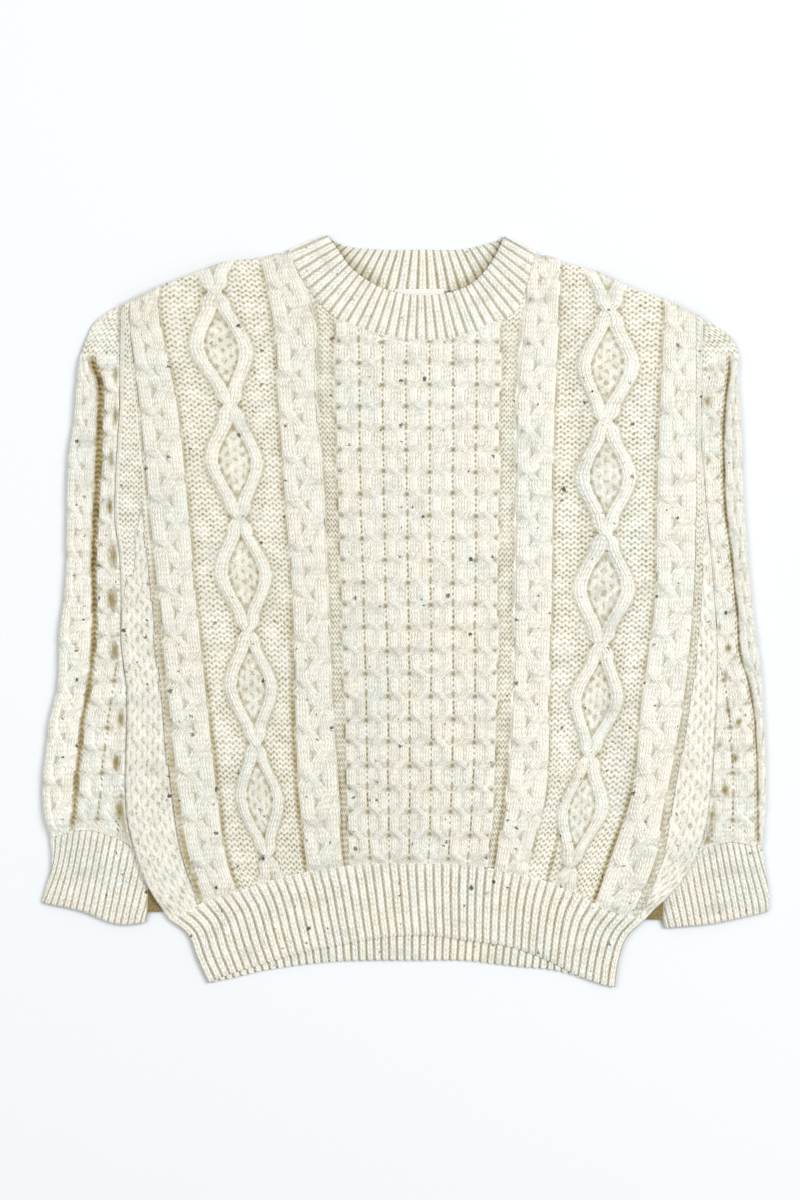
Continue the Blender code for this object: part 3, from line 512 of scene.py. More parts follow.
def plain_facts(x, down):
    """Facts for cloth with its wrong side out and nothing on it."""
    zero = np.zeros_like(x)
    return {"u": x / STITCH, "v": down / ROW, "side": zero + PURL, "crevice": zero, "meeting": zero}


def store_facts(mesh, facts):
    """Puts the stitches' places in a UV map, and the other facts in attributes, for the wool to read."""
    loops = np.empty(len(mesh.loops), dtype=np.int32)
    mesh.loops.foreach_get("vertex_index", loops)
    stitches = mesh.uv_layers[0]
    stitches.name = "stitches"
    places = np.stack([facts["u"][loops], facts["v"][loops]], axis=1)
    stitches.data.foreach_set("uv", places.astype(np.float32).ravel())
    for name in FACTS[2:]:
        layer = mesh.attributes.new(name, "FLOAT", "POINT")
        layer.data.foreach_set("value", facts[name].astype(np.float32))


@contextmanager
def edit_mode(action=None):
    """Edit mode, with everything selected or nothing, or with what was selected before."""
    bpy.ops.object.mode_set(mode="EDIT")
    if action:
        bpy.ops.mesh.select_all(action=action)
    yield
    bpy.ops.object.mode_set(mode="OBJECT")


def read_points(mesh):
    points = np.empty(3 * len(mesh.vertices), dtype=np.float32)
    mesh.vertices.foreach_get("co", points)
    return points.reshape(-1, 3).astype(float)


def write_points(mesh, points):
    mesh.vertices.foreach_set("co", points.astype(np.float32).ravel())
    mesh.update()


def new_grid(name, points):
    """A grid primitive with its points moved to an array of rows and columns of places."""
    rows, columns = points.shape[:2]
    bpy.ops.mesh.primitive_grid_add(x_subdivisions=columns - 1, y_subdivisions=rows - 1, size=1)
    sheet = bpy.context.object
    sheet.name = sheet.data.name = name
    write_points(sheet.data, points.reshape(-1, 3))
    return sheet


def slope_planes():
    """Where the underside bends to lie over the sleeves: a point and a normal of each plane."""
    lines = [((0, down), (1, 0)) for down in LOWER_END]
    for side, inward in INWARD.items():
        (top, x_top), (bottom, x_bottom) = SLEEVES[side]["hidden fold"]
        for offset in (LEVEL, LEVEL + RAMP):
            lines.append(((x_top + inward * offset, top), (x_bottom - x_top, bottom - top)))
        first, last = [
            hidden_fold(side, down) + inward * offset
            for down, offset in zip(LOWER_END, (LEVEL, LEVEL + RAMP))
        ]
        lines.append(((first, LOWER_END[0]), (last - first, LOWER_END[1] - LOWER_END[0])))
    for (x, down), (run_x, run_down) in lines:
        length = math.hypot(run_x, run_down)
        yield to_space(x, down, 0.0), (run_down / length, run_x / length, 0)


def closed_sheet(name, x, down, height, facts, rim_x, rim_down, under):
    """Cloth with every stitch on top and a plain underside. rim_x and rim_down say where the underside's
    border lies, and under gives the underside's height."""
    count = x.size
    flip = slice(None, None, -1)  # a grid's first row is its lowest
    sheet = new_grid(name, to_space(x, down, height)[flip])
    mesh = sheet.data
    spot = mesh.attributes.new("spot", "INT", "POINT")
    spot.data.foreach_set("value", np.arange(count, dtype=np.int32))
    with edit_mode("DESELECT"):
        bpy.ops.mesh.select_non_manifold()
        bpy.ops.mesh.mark_sharp()
        bpy.ops.mesh.extrude_region_move()
    spots = np.empty(len(mesh.vertices), dtype=np.int32)
    mesh.attributes["spot"].data.foreach_get("value", spots)
    points = read_points(mesh)
    rim = to_space(rim_x, rim_down, np.zeros_like(rim_x))[flip].reshape(-1, 3)
    points[count:] = rim[spots[count:]]
    write_points(mesh, points)
    with edit_mode():
        bpy.ops.mesh.fill()
        bpy.ops.mesh.hide(unselected=True)
        for place, normal in slope_planes():
            bpy.ops.mesh.select_all(action="SELECT")
            bpy.ops.mesh.bisect(plane_co=place, plane_no=normal)
        bpy.ops.mesh.reveal(select=False)
        bpy.ops.mesh.select_all(action="SELECT")
        bpy.ops.mesh.normals_make_consistent(inside=False)
    points = read_points(mesh)
    low = points[count:] * 1000
    low[:, 2] = under(low[:, 0], HALF_LENGTH - low[:, 1])
    points[count:] = low * 0.001
    write_points(mesh, points)
    mesh.attributes.remove(mesh.attributes["spot"])
    plain = plain_facts(low[:, 0], HALF_LENGTH - low[:, 1])
    store_facts(mesh, {key: np.concatenate([facts[key][flip].ravel(), plain[key]]) for key in FACTS})
    bpy.ops.object.shade_smooth()
    return sheet


def joined(grids, axis):
    """Puts sets of arrays side by side."""
    return {key: np.concatenate([grid[key] for grid in grids], axis=axis) for key in grids[0]}


def round_side(grid, edge):
    """Adds columns that take the cloth round its left fold, where edge is 0, or its right one, where it is
    -1, and under it."""
    inward = 1 if edge == 0 else -1
    first = {key: value[:, [edge]] for key, value in grid.items()}
    low = lift(first["x"], first["down"]) + UNDER_FOLD
    parts = [
        {
            **first, "x": first["x"] + inward * offset, "height": low + share * (first["height"] - low),
            "u": first["u"] - inward * offset / STITCH,
        }
        for offset, share in FOLD_UNDER
    ]
    return joined([*parts, grid] if edge == 0 else [grid, *parts[::-1]], 1)


def with_folds(grid, edges):
    """The grid with these sides folded under, and x of its underside's border."""
    for edge in edges:
        grid = round_side(grid, edge)
    x, folds, inset = grid["x"], len(FOLD_UNDER), FOLD_UNDER[0][0]
    step = LEAST_STEP * np.arange(x.shape[1])
    low = x[:, [folds]] + inset + step if 0 in edges else -np.inf
    high = x[:, [-folds - 1]] - inset - step[::-1] if -1 in edges else np.inf
    return grid, np.clip(x, low, high)


def inner_face(x, down):
    """Height of the front's inner face."""
    return INNER + lift(x, down)


def as_cloth(sheet, replaces):
    """Hangs the piece under the root, hides the solid that it replaces and gives it the wool."""
    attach(sheet, "root")
    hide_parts(replaces)
    sheet.data.materials.clear()
    sheet.data.materials.append(bpy.data.materials["cream wool"])
    print(sheet.name, "has", len(sheet.data.polygons), "faces")


# %% [markdown]
# ## The front
#
# A knitter makes the front in one go, from the hem up. We make it as three closed sheets that meet in the
# deep creases beside the honeycomb, because so many points in one mesh would be slow to handle. Six columns
# of points run down every stitch, so that both legs of its V are real shape. Rows and columns settle in a
# few rounds, since the edges are curved and a column's place depends on how far down it starts.

# %% Places of the front's points
FRONT_ROWS = 468
COLUMNS_PER_STITCH = 6
SIDE_COLUMNS = 28  # between a folded side and the outer plait
SPLIT = 16  # the stitch where the three sheets meet
PLAIT_EDGE = COLUMN_STITCHES[-1]
FIRST_GUESS = (40.0, 580.0)  # where a body panel's first and last rows lie, before they settle
# each folded side counts as one more stitch
KNOTS = [COLUMN_STITCHES[0] - 1, *COLUMN_STITCHES, COLUMN_STITCHES[-1] + 1]


def knot_line(knot, down):
    """x of a knot's column."""
    if knot == 0:
        return body_side("left", down)
    if knot == len(KNOTS) - 1:
        return body_side("right", down)
    return smooth(down, COLUMN_PLACES, knot)


def top_line(neck_seam, push):
    """A panel's upper edge, shoulder to shoulder along the collar's seam: x, then how far down."""
    neck = [p for p in pushed(neck_seam, push) if NECK_LEFT < p[1] < NECK_RIGHT]
    points = sorted(LEFT_SHOULDER[:-1] + neck + RIGHT_SHOULDER[1:], key=lambda p: p[1])
    return [p[1] for p in points], [p[0] for p in points]


def front_places(columns):
    """Places of the points of these columns: x, down, and the edges' places above and below them."""
    edge = top_line(NECK_SEAM, -1.2)
    down = rows_between(*FIRST_GUESS, FRONT_ROWS, len(columns))
    for _ in range(SETTLE_STEPS):
        x = np.empty_like(down)
        for k, (first, last) in enumerate(zip(KNOTS, KNOTS[1:])):
            inside = (columns >= first) & (columns <= last)
            if inside.any():
                share = (columns[inside] - first) / (last - first)
                a, b = knot_line(k, down[:, inside]), knot_line(k + 1, down[:, inside])
                x[:, inside] = a + share * (b - a)
        top = np.interp(x[0], *edge)
        bottom = across(HEM_SEAM, x[-1]) - GAP
        down = rows_between(top, bottom, FRONT_ROWS, len(columns))
    return x, down, top, bottom


plain_columns = np.arange(-PLAIT_EDGE, PLAIT_EDGE + 0.01, 1 / COLUMNS_PER_STITCH)
side_columns = even(SIDE_COLUMNS + 1)[1:]
front_columns = {
    "front_left": np.concatenate([
        -PLAIT_EDGE - side_columns[::-1], plain_columns[plain_columns < 1e-6 - SPLIT],
    ]),
    "front_middle": plain_columns[np.abs(plain_columns) < 1e-6 + SPLIT],
    "front_right": np.concatenate([plain_columns[plain_columns > SPLIT - 1e-6], PLAIT_EDGE + side_columns]),
}
print({name: len(columns) for name, columns in front_columns.items()}, "columns by", FRONT_ROWS, "rows")

# %% The front's cloth
# Creases are painted as shade on the purl ground, and grow darker further down.
CREASES = [  # stitch, half width, strength on the left half and on the right half, starts this far down
    (42.7, 0.3, 0.45, 0.35, 220), (42.7, 0.3, 0.85, 0.0, 470), (35.4, 0.3, 0.5, 0.0, 330),
    (35.5, 0.35, 0.0, 1.15, 455), (22.6, 0.32, 0.7, 0.0, 300), (25.8, 0.35, 0.0, 0.9, 470),
    (15.5, 0.35, 0.9, 1.05, 430), (14.9, 1.0, 0.2, 0.05, 380),
]
FOLD_BAND, FOLD_BAND_END = 3.2, 400  # width of the knit stitches beside the folded sides, and their end
STRIP_FROM = 42.6  # the side strips begin at this stitch
STRIP_STITCH = 4.8
BEADS_FROM = 235  # the side strips are beaded below this
HOLLOW_FROM, HOLLOW_FULL = 230, 500  # the honeycomb's cells deepen between these
PLAIT_HALF, DIAMOND_HALF = 3.05, 4.3  # half the width of a plait and of a diamond panel, in stitches
CREASE_RAMP = 130  # a crease takes this long to reach its full strength
SPREAD = 0.12  # how far stitches and rows stray, in stitches and rows
WIDE_SHADE, WIDE_REACH = 0.16, 9  # soft painted shade on purl ground beside cables, and over how many points


def front_cloth(stitch, down, to_side, x):
    """The front's stitches, at each point's stitch number and distance from the folded side."""
    stitch = stitch + SPREAD * irregular(x, down, 1.0)
    cloth = plain_ground(stitch, rows_of(down) + 2 * SPREAD * irregular(x, down, 2.0))
    row, reach = cloth["v"], np.abs(stitch)
    inside = reach <= HONEYCOMB_EDGE
    hollow = ease((down - HOLLOW_FROM) / (HOLLOW_FULL - HOLLOW_FROM))
    honeycomb(cloth, stitch + HONEYCOMB_EDGE, row, inside, hollow)
    for middle, shift in PLAITS.items():
        plait(cloth, stitch - middle, row - shift, np.abs(stitch - middle) <= PLAIT_HALF, middle)
    for middle, (first, length) in DIAMONDS.items():
        near = np.abs(stitch - middle) <= DIAMOND_HALF
        diamonds(cloth, stitch - middle, down, first, length, near, middle)
    # Painted shade along each crease.
    for at, width, left, right, start in CREASES:
        strength = np.where(stitch < 0, left, right) * (0.1 + 0.9 * ease((down - start) / CREASE_RAMP))
        broken = (0.8 + 0.2 * np.cos(2 * np.pi * row)) * (0.95 + 0.3 * irregular(3 * x, 2 * down, at))
        line = bell(reach - at, width) * broken * strength
        deepen_shade(cloth, line * (cloth["side"] == PURL))
    change(cloth, ~inside & (reach < SPLIT) & (cloth["side"] == PURL), u=2 * stitch)
    change(cloth, reach > STRIP_FROM, u=to_side / STRIP_STITCH)
    beads = down - BEADS_FROM - 22 * (reach - STRIP_FROM) - 30 * irregular(3 * x, down, 4.0)
    beaded = (reach > STRIP_FROM + 0.6) & (beads > 0)
    change(cloth, beaded, side=MOSS, rise=0.1 * ease(beads / 40), v=row * 0.8)
    folded = (to_side < FOLD_BAND) & (down < FOLD_BAND_END)
    change(cloth, folded, side=KNIT, rise=0.05, u=to_side / FOLD_BAND)
    return cloth


def round_top(grid, on_shoulder):
    """Adds rows that take the cloth over the shoulder's fold and under it."""
    first = {key: value[:1] for key, value in grid.items()}
    low = lift(first["x"], first["down"]) + UNDER_FOLD
    rows = []
    for offset, share in FOLD_UNDER:
        folded = low + share * (first["height"] - low)
        height = np.where(on_shoulder > 0, folded, first["height"] - 0.1 * offset)
        rows.append({**first, "down": first["down"] + offset * on_shoulder, "height": height})
    return joined([*rows, grid], 0)


def front_sheet(name, columns):
    """One of the front's three sheets."""
    x, down, top, bottom = front_places(columns)
    left, right = body_side("left", down), body_side("right", down)
    outer_left, outer_right = knot_line(1, down), knot_line(len(COLUMN_STITCHES), down)
    stitch = columns + np.zeros_like(x)
    stitch = np.where(columns < -PLAIT_EDGE, -PLAIT_EDGE - (outer_left - x) / STITCH, stitch)
    stitch = np.where(columns > PLAIT_EDGE, PLAIT_EDGE + (x - outer_right) / STITCH, stitch)
    to_side = np.minimum(x - left, right - x)
    on_shoulder = (x[0] < NECK_LEFT + 1) | (x[0] > NECK_RIGHT - 1)
    cloth = front_cloth(stitch, down, to_side, x)
    flatter = np.clip(np.minimum(down - top, bottom - down) / 7, 0.3, 1)
    rise = finished(cloth) * flatter
    rounding = edge_round(to_side) * np.where(on_shoulder, edge_round(down - top, SHOULDER_RADIUS), 1)
    height = INNER + lift(x, down, soft=True) + RIM + (WALL - RIM + rise) * rounding
    # Painted shade: in crevices, more on purl than on knit, softly on purl ground beside the cables, and a
    # little over the left half, which lies in a soft shade.
    shade = np.where(cloth["side"] == KNIT, 0.6, 0.85)
    shade_beside_cables = crevice_shading(rise, 0, np.where(cloth["side"] == PURL, WIDE_SHADE, 0), WIDE_REACH)
    grid = {
        **cloth, "x": x, "down": down, "height": height, "meeting": meetings(cloth["u"]),
        "crevice": crevice_shading(rise, cloth["groove"], shade) + shade_beside_cables + 0.05 * ease(0.5 - x / 120),
    }
    grid = round_top(grid, np.where(on_shoulder, 1.0, 0.0))
    grid, rim_x = with_folds(grid, {"front_left": [0], "front_right": [-1]}.get(name, []))
    x, down = grid["x"], grid["down"]
    tucked = np.interp(x[3], [NECK_LEFT, NECK_LEFT + 2, NECK_RIGHT - 2, NECK_RIGHT], [1, 0, 0, 1])
    rows = LEAST_STEP * np.arange(len(down))[:, None]
    rim_down = np.maximum(down, down[len(FOLD_UNDER)] + FOLD_UNDER[0][0] * tucked + rows)
    return closed_sheet(name, x, down, grid["height"], grid, rim_x, rim_down, inner_face)


# %% [markdown]
# ## Sleeves and cuffs
#
# A sleeve is a tube, so its sheet is rolled up: a grid goes once round the tube and once down its outside
# and back up its inside. Then its opposite edges meet and are merged. A plait runs along the sleeve's fold,
# and a deep gutter parts it from a honeycomb, which goes under the body.

# %% A rolled-up sheet
TUBE_FOLD = [(0.3, 0.42), (1.2, 0.1), (2.6, 0.0)]  # how far in, and share of the edge's height
UNDERSIDE_COLUMNS, ROWS_INSIDE = 10, 9


def rolled_sheet(name, outside, inside, facts, inner_facts=None):
    """A closed tube. outside holds its points, a row for each step round the tube, and inside the same for
    its inner face. facts holds the outside's stitches, and inner_facts the inside's."""
    ring = np.concatenate([outside, inside[:, ::-1], outside[:, :1]], axis=1)
    ring = np.concatenate([ring, ring[:1]], axis=0)
    tube = new_grid(name, ring)
    values = {}
    # The inside gets a little painted shade, 0.3, where no facts are given for it.
    for key, fill in zip(FACTS, (0.25, 0.0, PURL, 0.3, 0.0)):
        within = inner_facts[key][:, ::-1] if inner_facts else np.full(inside.shape[:2], fill)
        value = np.concatenate([facts[key], within, facts[key][:, :1]], axis=1)
        values[key] = np.concatenate([value, value[:1]], axis=0).ravel()
    store_facts(tube.data, values)
    with edit_mode("SELECT"):
        bpy.ops.mesh.remove_doubles(threshold=1e-7)
        bpy.ops.mesh.normals_make_consistent(inside=False)
    bpy.ops.object.shade_smooth()
    return tube


def pressed_tube(name, x, down, top, inward, facts):
    """A tube of cloth pressed flat, from the grid of its upper side. Its folds and underside are added."""
    columns = x.shape[1]

    def fold(edge, direction):
        """The columns that turn round one of its folds: x, down and height in the last direction."""
        offsets, heights = np.array(TUBE_FOLD).T
        spots = np.stack(np.broadcast_arrays(
            x[:, edge, None] + direction * offsets, down[:, edge, None], heights * top[:, edge, None],
        ))
        return spots if edge == -1 else spots[:, :, ::-1]

    hidden, outer = fold(-1, -inward), fold(0, inward)
    share = even(UNDERSIDE_COLUMNS + 2)[1:-1]
    under = hidden[:, :, -1:] + share * (outer[:, :, :1] - hidden[:, :, -1:])
    ring_x, ring_down, ring_z = np.concatenate([np.stack([x, down, top]), hidden, under, outer], axis=2)
    chosen = np.linspace(0, len(x) - 1, ROWS_INSIDE).round().astype(int)
    reach = sorted([0, -1], key=lambda i: x[0, i])
    low, high = x[:, reach[0]][:, None] + WALL, x[:, reach[1]][:, None] - WALL
    slot_x = np.clip(ring_x, low, high)
    slot_z = np.where(np.arange(ring_x.shape[1]) < columns, WALL + SLEEVE_SLOT, WALL) + np.zeros_like(ring_x)
    outside = to_space(ring_x, ring_down, ring_z).transpose(1, 0, 2)
    inside = to_space(slot_x, ring_down, slot_z).transpose(1, 0, 2)[:, chosen]
    rest = plain_facts(ring_x[:, columns:], ring_down[:, columns:])
    whole = {key: np.concatenate([facts[key], rest[key]], axis=1).T for key in rest}
    return rolled_sheet(name, outside, inside, whole)


# %% Sleeves
SLEEVE_ROWS = 410
SLEEVE_COLUMNS = 60
SLEEVE_STITCH = 4.9  # sleeve cloth is closer at its fold
HIDDEN_COLUMNS = 6
SLEEVE_GUESS = 545.0  # where the last row lies, before it settles
SLEEVE_HOLLOW = 0.8
SLEEVE_SHIFT = 6.7  # rows from the front's first crossing back to the sleeves'
CAP_END = 110.0  # above it a sleeve is plain
# Hollow cells of the honeycomb: lowered, and painted with shade.
HOLLOWS = {  # the honeycomb's deep cells: down, x, half width, half height, depth
    "left": [
        (128, -260.5, 2.4, 7, 0.8), (165, -260.5, 2.6, 8, 0.95), (205, -265, 2.4, 8, 0.75),
        (247, -266, 3, 7, 0.9), (291, -263, 3.6, 9, 0.95), (331, -264, 4.2, 9, 1.0),
        (376, -262, 3.6, 8, 0.95), (438, -256, 3.4, 7, 0.9), (477, -260.5, 3.6, 7, 0.9),
        (520, -257, 4.2, 9, 1.0),
    ],
    "right": [
        (152, 272, 2.8, 4.5, 1.0), (205, 272, 1.6, 5, 0.5), (355, 282, 2.2, 3, 0.9), (374, 291, 2.4, 3, 1.0),
        (398, 288, 2, 4, 0.6), (430, 290, 2.4, 4, 0.7), (441, 300, 2.4, 3, 1.0), (461, 282, 2.4, 4, 0.7),
        (473, 297, 2.6, 3.5, 1.0), (502, 288, 3.4, 5, 0.9), (524, 275, 3.6, 4.5, 1.1), (547, 272, 3, 5, 1.0),
    ],
}
GUTTERS = {"left": (1.02, 1.0), "right": (0.62, 0.42)}  # how dark its painted shade is, and how wide
GUTTER_WIDTHS = [120, 200, 330, 420], [0.75, 0.75, 0.5, 0.38]  # down, and half width in stitches
GUTTER_FADES = [200, 320, 400, 500], [1, 0.95, 0.6, 0.45]  # down, and what is left of its painted shade
UNDER_BODY, LEAST_SHOWN = 6, 16  # how far fine columns go on under the body, and their least width
LEAST_PLAIT, PLAIT_WIDTH = 5, 14  # the gutter's least distance from the fold, and the plait's least width
HONEYCOMB_START = 0.6  # stitches from the gutter's middle
RELIEF_FROM = 95  # a sleeve's relief starts here
PRESSED_UP = 3.0  # how far sleeve cloth rises beside the body's side


def beside_body(to_body, reach):
    return np.where(to_body > -0.3, PRESSED_UP * bell(to_body, reach), 0)


def sleeve(side):
    """A sleeve: a plait at its fold, a purl gutter and part of a honeycomb, which the body's side covers."""
    lines, inward = SLEEVES[side], INWARD[side]
    first = lines["outer fold"][0][0]
    columns = SLEEVE_COLUMNS + HIDDEN_COLUMNS
    down = rows_between(first, SLEEVE_GUESS, SLEEVE_ROWS, columns)
    fine = even(SLEEVE_COLUMNS)
    coarse = even(HIDDEN_COLUMNS + 1)[1:]
    for _ in range(SETTLE_STEPS):
        outer, hidden = smooth(down, lines["outer fold"]), hidden_fold(side, down)
        covered = body_side(side, down) + inward * UNDER_BODY
        covered = outer + inward * np.maximum((covered - outer) * inward, LEAST_SHOWN)
        x = np.concatenate([
            outer[:, :SLEEVE_COLUMNS] + fine * (covered - outer)[:, :SLEEVE_COLUMNS],
            covered[:, SLEEVE_COLUMNS:] + coarse * (hidden - covered)[:, SLEEVE_COLUMNS:],
        ], axis=1)
        bottom = across(lines["cuff seam"], x[-1]) + 0.4
        down = rows_between(first, bottom, SLEEVE_ROWS, columns)
    gutter = smooth(down, lines["gutter"])
    gutter = outer + inward * np.maximum((gutter - outer) * inward, LEAST_PLAIT)
    stray = irregular(x, down, 3.0)
    stitch = (x - gutter) * inward / SLEEVE_STITCH + SPREAD * stray
    cloth = plain_ground(stitch, rows_of(down) + 2 * SPREAD * stray)
    row = cloth["v"]
    to_gutter = (gutter - x) * inward / np.maximum(np.abs(gutter - outer), PLAIT_WIDTH)
    plait(cloth, to_gutter * 6 - 3.4, row + 1, to_gutter > 0.08)
    start = HONEYCOMB_START
    honeycomb(cloth, stitch - start, row + SLEEVE_SHIFT, stitch > start, SLEEVE_HOLLOW)
    to_body = (body_side(side, down) - x) * inward
    shown = unit((to_body - 0.5) / 3)
    shown = shown * unit((down - RELIEF_FROM) / 20) * np.clip((down[-1] - down) / 8, 0.3, 1)
    cap_end = CAP_END + 9 * stray
    on_cap = ease((cap_end + 4 - down) / 12)
    change(cloth, down < cap_end, side=PURL, u=stitch)
    cloth["rise"], cloth["groove"] = cloth["rise"] * (1 - on_cap), cloth["groove"] * (1 - on_cap)
    gutter_depth, gutter_width = GUTTERS[side]
    width = gutter_width * np.interp(down, *GUTTER_WIDTHS)
    width = width * (1 + 0.4 * irregular(4 * x, 3 * down, 5.0))
    deep = np.exp(-((np.abs(stitch) / width) ** 2.5)) * ease((down - 104) / 14)
    ragged = 1 + 0.3 * irregular(9 * x, 7 * down, 8.0)
    hollow = 0.6 * ease((down - 490) / 40) * bell(to_body - 3, 4) * (0.5 + ragged) / 1.5
    for at, middle, half_width, half_height, depth in HOLLOWS[side]:
        away = ((x - middle) / half_width) ** 2 + ((down - at) / half_height) ** 2
        hollow = np.maximum(hollow, depth * np.exp(-away * ragged**2))
    # Painted shade along the gutter, a little darker in every row, and in the hollow cells.
    ladder = 0.78 + 0.22 * np.cos(2 * np.pi * row) + 0.1 * irregular(5 * x, 4 * down, 6.0)
    fade = np.interp(down, *GUTTER_FADES)
    groove = np.maximum(cloth["groove"], np.maximum(gutter_depth * fade * deep * ladder, hollow))
    middle = SLEEVE_HEIGHT / 2
    from_edge = np.minimum(np.abs(x - outer), np.abs(x - hidden))
    relief = (0.9 * finished(cloth) - 1.2 * deep - 1.0 * hollow) * shown
    height = middle + (SLEEVE_HEIGHT - middle + relief) * edge_round(from_edge)
    height = height + beside_body(to_body, 4) * ease((down - 90) / 20)
    # Painted shade in crevices, and none where the body hides the relief.
    crevice = crevice_shading(relief, groove * shown, 0.65)
    facts = {**cloth, "crevice": crevice, "meeting": meetings(cloth["u"])}
    return pressed_tube(f"sleeve_{side}_cloth", x, down, height, inward, facts)


# %% [markdown]
# ## Ribbing
#
# Hem, cuffs and neckband are one knit stitch and one purl stitch by turns. The knit stitches stand up as
# ribs and the purl stitches sink between them, so ribbing pulls in like a spring. Each rib takes eight
# columns of points and has the two legs of its V's.

# %% Ribs
RIB_COLUMNS = 8
RIB_HALF = 0.43  # half a knit stitch's width, as a share of the rib's
VALLEY = 0.125  # half the width of the shade painted between ribs
BEND = 5  # the higher, the sooner ribs run straight beside a curved side


def rib_fall(seam, bottom, left, right, share, fall, gap):
    """Places between a seam and three edge lines: share runs along the seam, fall away from it."""
    t, b = straight_shares(seam, share, gap)[None], along(bottom, share)[None]
    l, r = along(left, fall)[:, None], along(right, fall)[:, None]
    g, f = fall[:, None, None], share[None, :, None]
    bend_left, bend_right = [edge - (1 - g) * t[:, i] - g * b[:, i] for edge, i in ((l, 0), (r, -1))]
    spots = (1 - g) * t + g * b + (1 - f) ** BEND * bend_left + f**BEND * bend_right
    spots[0] = t
    return spots[..., 0], spots[..., 1]


def ribbing(share, row, ribs, valley=0.85):
    """Ribs across shares from 0 to 1: height from 0 to about 1, and the facts for the wool."""
    turn = share * ribs % 1 + 0 * row
    place = np.clip((turn - 0.5) / RIB_HALF, -1, 1)
    u = 0.5 + 0.5 * place
    leg = knit_stitches(np.clip(u, 0.03, 0.97), row)
    rise = unit(1 - np.abs(place) ** 2.4) ** 0.7
    steps = 0.8 + 0.2 * np.cos(2 * np.pi * row)
    # Painted shade along each valley, a little darker in every row.
    groove = valley * bell(np.minimum(turn, 1 - turn), VALLEY) * steps
    facts = {"u": u, "v": row + 0 * u, "side": KNIT + 0 * u, "groove": groove, "meeting": 0 * u}
    return rise * (0.72 + 0.28 * leg), facts


def rib_ends(fall, start, first, last, least):
    """1 along the ribs, and less at their two ends."""
    return np.clip(np.minimum(start + fall / first, (1 - fall) / last), least, 1)


CORNER_DOWN = 618.0  # above it the body's side covers a cuff's inner edge
WEDGE_DOWN = {"left": 612.0, "right": 619.0}  # the cloth painted in deep shade between cuff and body ends here
WEDGE_HEIGHT = WALL + SLEEVE_SLOT + 0.8


def cuff(side):
    """A sleeve's ribbed cuff, and the cloth painted in deep shade that shows between it and the body."""
    lines, inward = SLEEVES[side], INWARD[side]
    share = even(CUFF_RIBS * RIB_COLUMNS + 1)
    fall = even(60)
    edges = [lines[name] for name in ("cuff seam", "cuff edge", "cuff outer", "cuff inner")]
    x, down = rib_fall(*edges, share, fall, -0.6)
    row = fall[:, None] * CUFF_LENGTH / RIB_ROW + 0 * x
    rib, facts = ribbing(share[None] + CUFF_SLANT / CUFF_RIBS * fall[:, None], row, CUFF_RIBS, 0.5)
    above_corner = unit((CORNER_DOWN - down) / 10)
    under_body = above_corner * unit(((x - body_side(side, down)) * inward + 9) / 5)
    ends = rib_ends(fall, 0, 0.06, 0.05, 0.3)[:, None]
    relief = RIB * (rib - 0.2) * (1 - under_body) * ends
    middle = SLEEVE_HEIGHT / 2
    from_edge = np.minimum(share, 1 - share) * np.abs(x[0, -1] - x[0, 0])
    height = middle + (SLEEVE_HEIGHT - 0.3 - middle + relief) * edge_round(from_edge, 6)
    height = height - 1.6 * (1 - edge_round((1 - fall) * CUFF_LENGTH, 3))[:, None]
    height = height + beside_body((body_side(side, down) - x) * inward, 3) * (1 - above_corner)
    # No shade is painted in the valleys where the body covers the cuff.
    facts["crevice"] = facts["groove"] * (1 - under_body)
    share = even(7)[1:]
    last = down[:, -1:]
    last = last[0] + (last - last[0]) * (WEDGE_DOWN[side] - last[0]) / (last[-1] - last[0]) + 0 * share
    to_body = np.maximum((body_side(side, last) - x[:, -1:]) * inward - 0.3, 0.6)
    x = np.concatenate([x, x[:, -1:] + inward * to_body * share], axis=1)
    down = np.concatenate([down, last], axis=1)
    height = np.concatenate([height, WEDGE_HEIGHT + 0 * last], axis=1)
    # The cloth between cuff and body lies in the body's shadow, so it is painted in deep shade, at 1.25.
    for key, value in (("u", 0.25), ("v", 0.0), ("side", PURL), ("crevice", 1.25), ("meeting", 1.0)):
        facts[key] = np.concatenate([facts[key], value + 0 * last], axis=1)
    return pressed_tube(f"cuff_{side}_cloth", x, down, height, inward, facts)


def hem_front():
    """The front's hem."""
    share = even(HEM_RIBS * RIB_COLUMNS + 1)
    fall = even(62)
    x, down = rib_fall(HEM_SEAM, HEM_EDGE, HEM_LEFT, HEM_RIGHT, share, fall, -1.0)
    row = fall[:, None] * HEM_LENGTH / HEM_ROW + 0 * x
    rib, facts = ribbing(share[None], row, HEM_RIBS)
    ends = rib_ends(fall, 0.4, 0.06, 0.04, 0.25)[:, None]
    to_side = np.minimum(share, 1 - share) * (x[0, -1] - x[0, 0])
    rise = (WALL - RIM + RIB * (rib - 0.25) * ends) * edge_round(to_side)
    rise = rise * (0.35 + 0.65 * edge_round((1 - fall) * HEM_LENGTH, 3))[:, None]
    height = INNER + lift(x, down, soft=True) + RIM + rise
    grid = {"x": x, "down": down, "height": height, **facts}
    # Painted shade in the valleys, paler near the seam.
    grid["crevice"] = grid.pop("groove") * (0.4 + 0.6 * ease(fall * HEM_LENGTH / 10))[:, None]
    grid, rim_x = with_folds(grid, [0, -1])
    x, down = grid["x"], grid["down"]
    return closed_sheet("hem_front_cloth", x, down, grid["height"], grid, rim_x, down, inner_face)


HIDDEN_ROWS, SHOWN_ROWS = 8, 26  # of the back's hem, behind the front's and below it
HEM_BEHIND = 6.0  # its fine rows start this far behind the front's hem
HEM_SHOWN = 23  # how much of it shows at the middle
LIP = 1.2  # its thickness at its edge


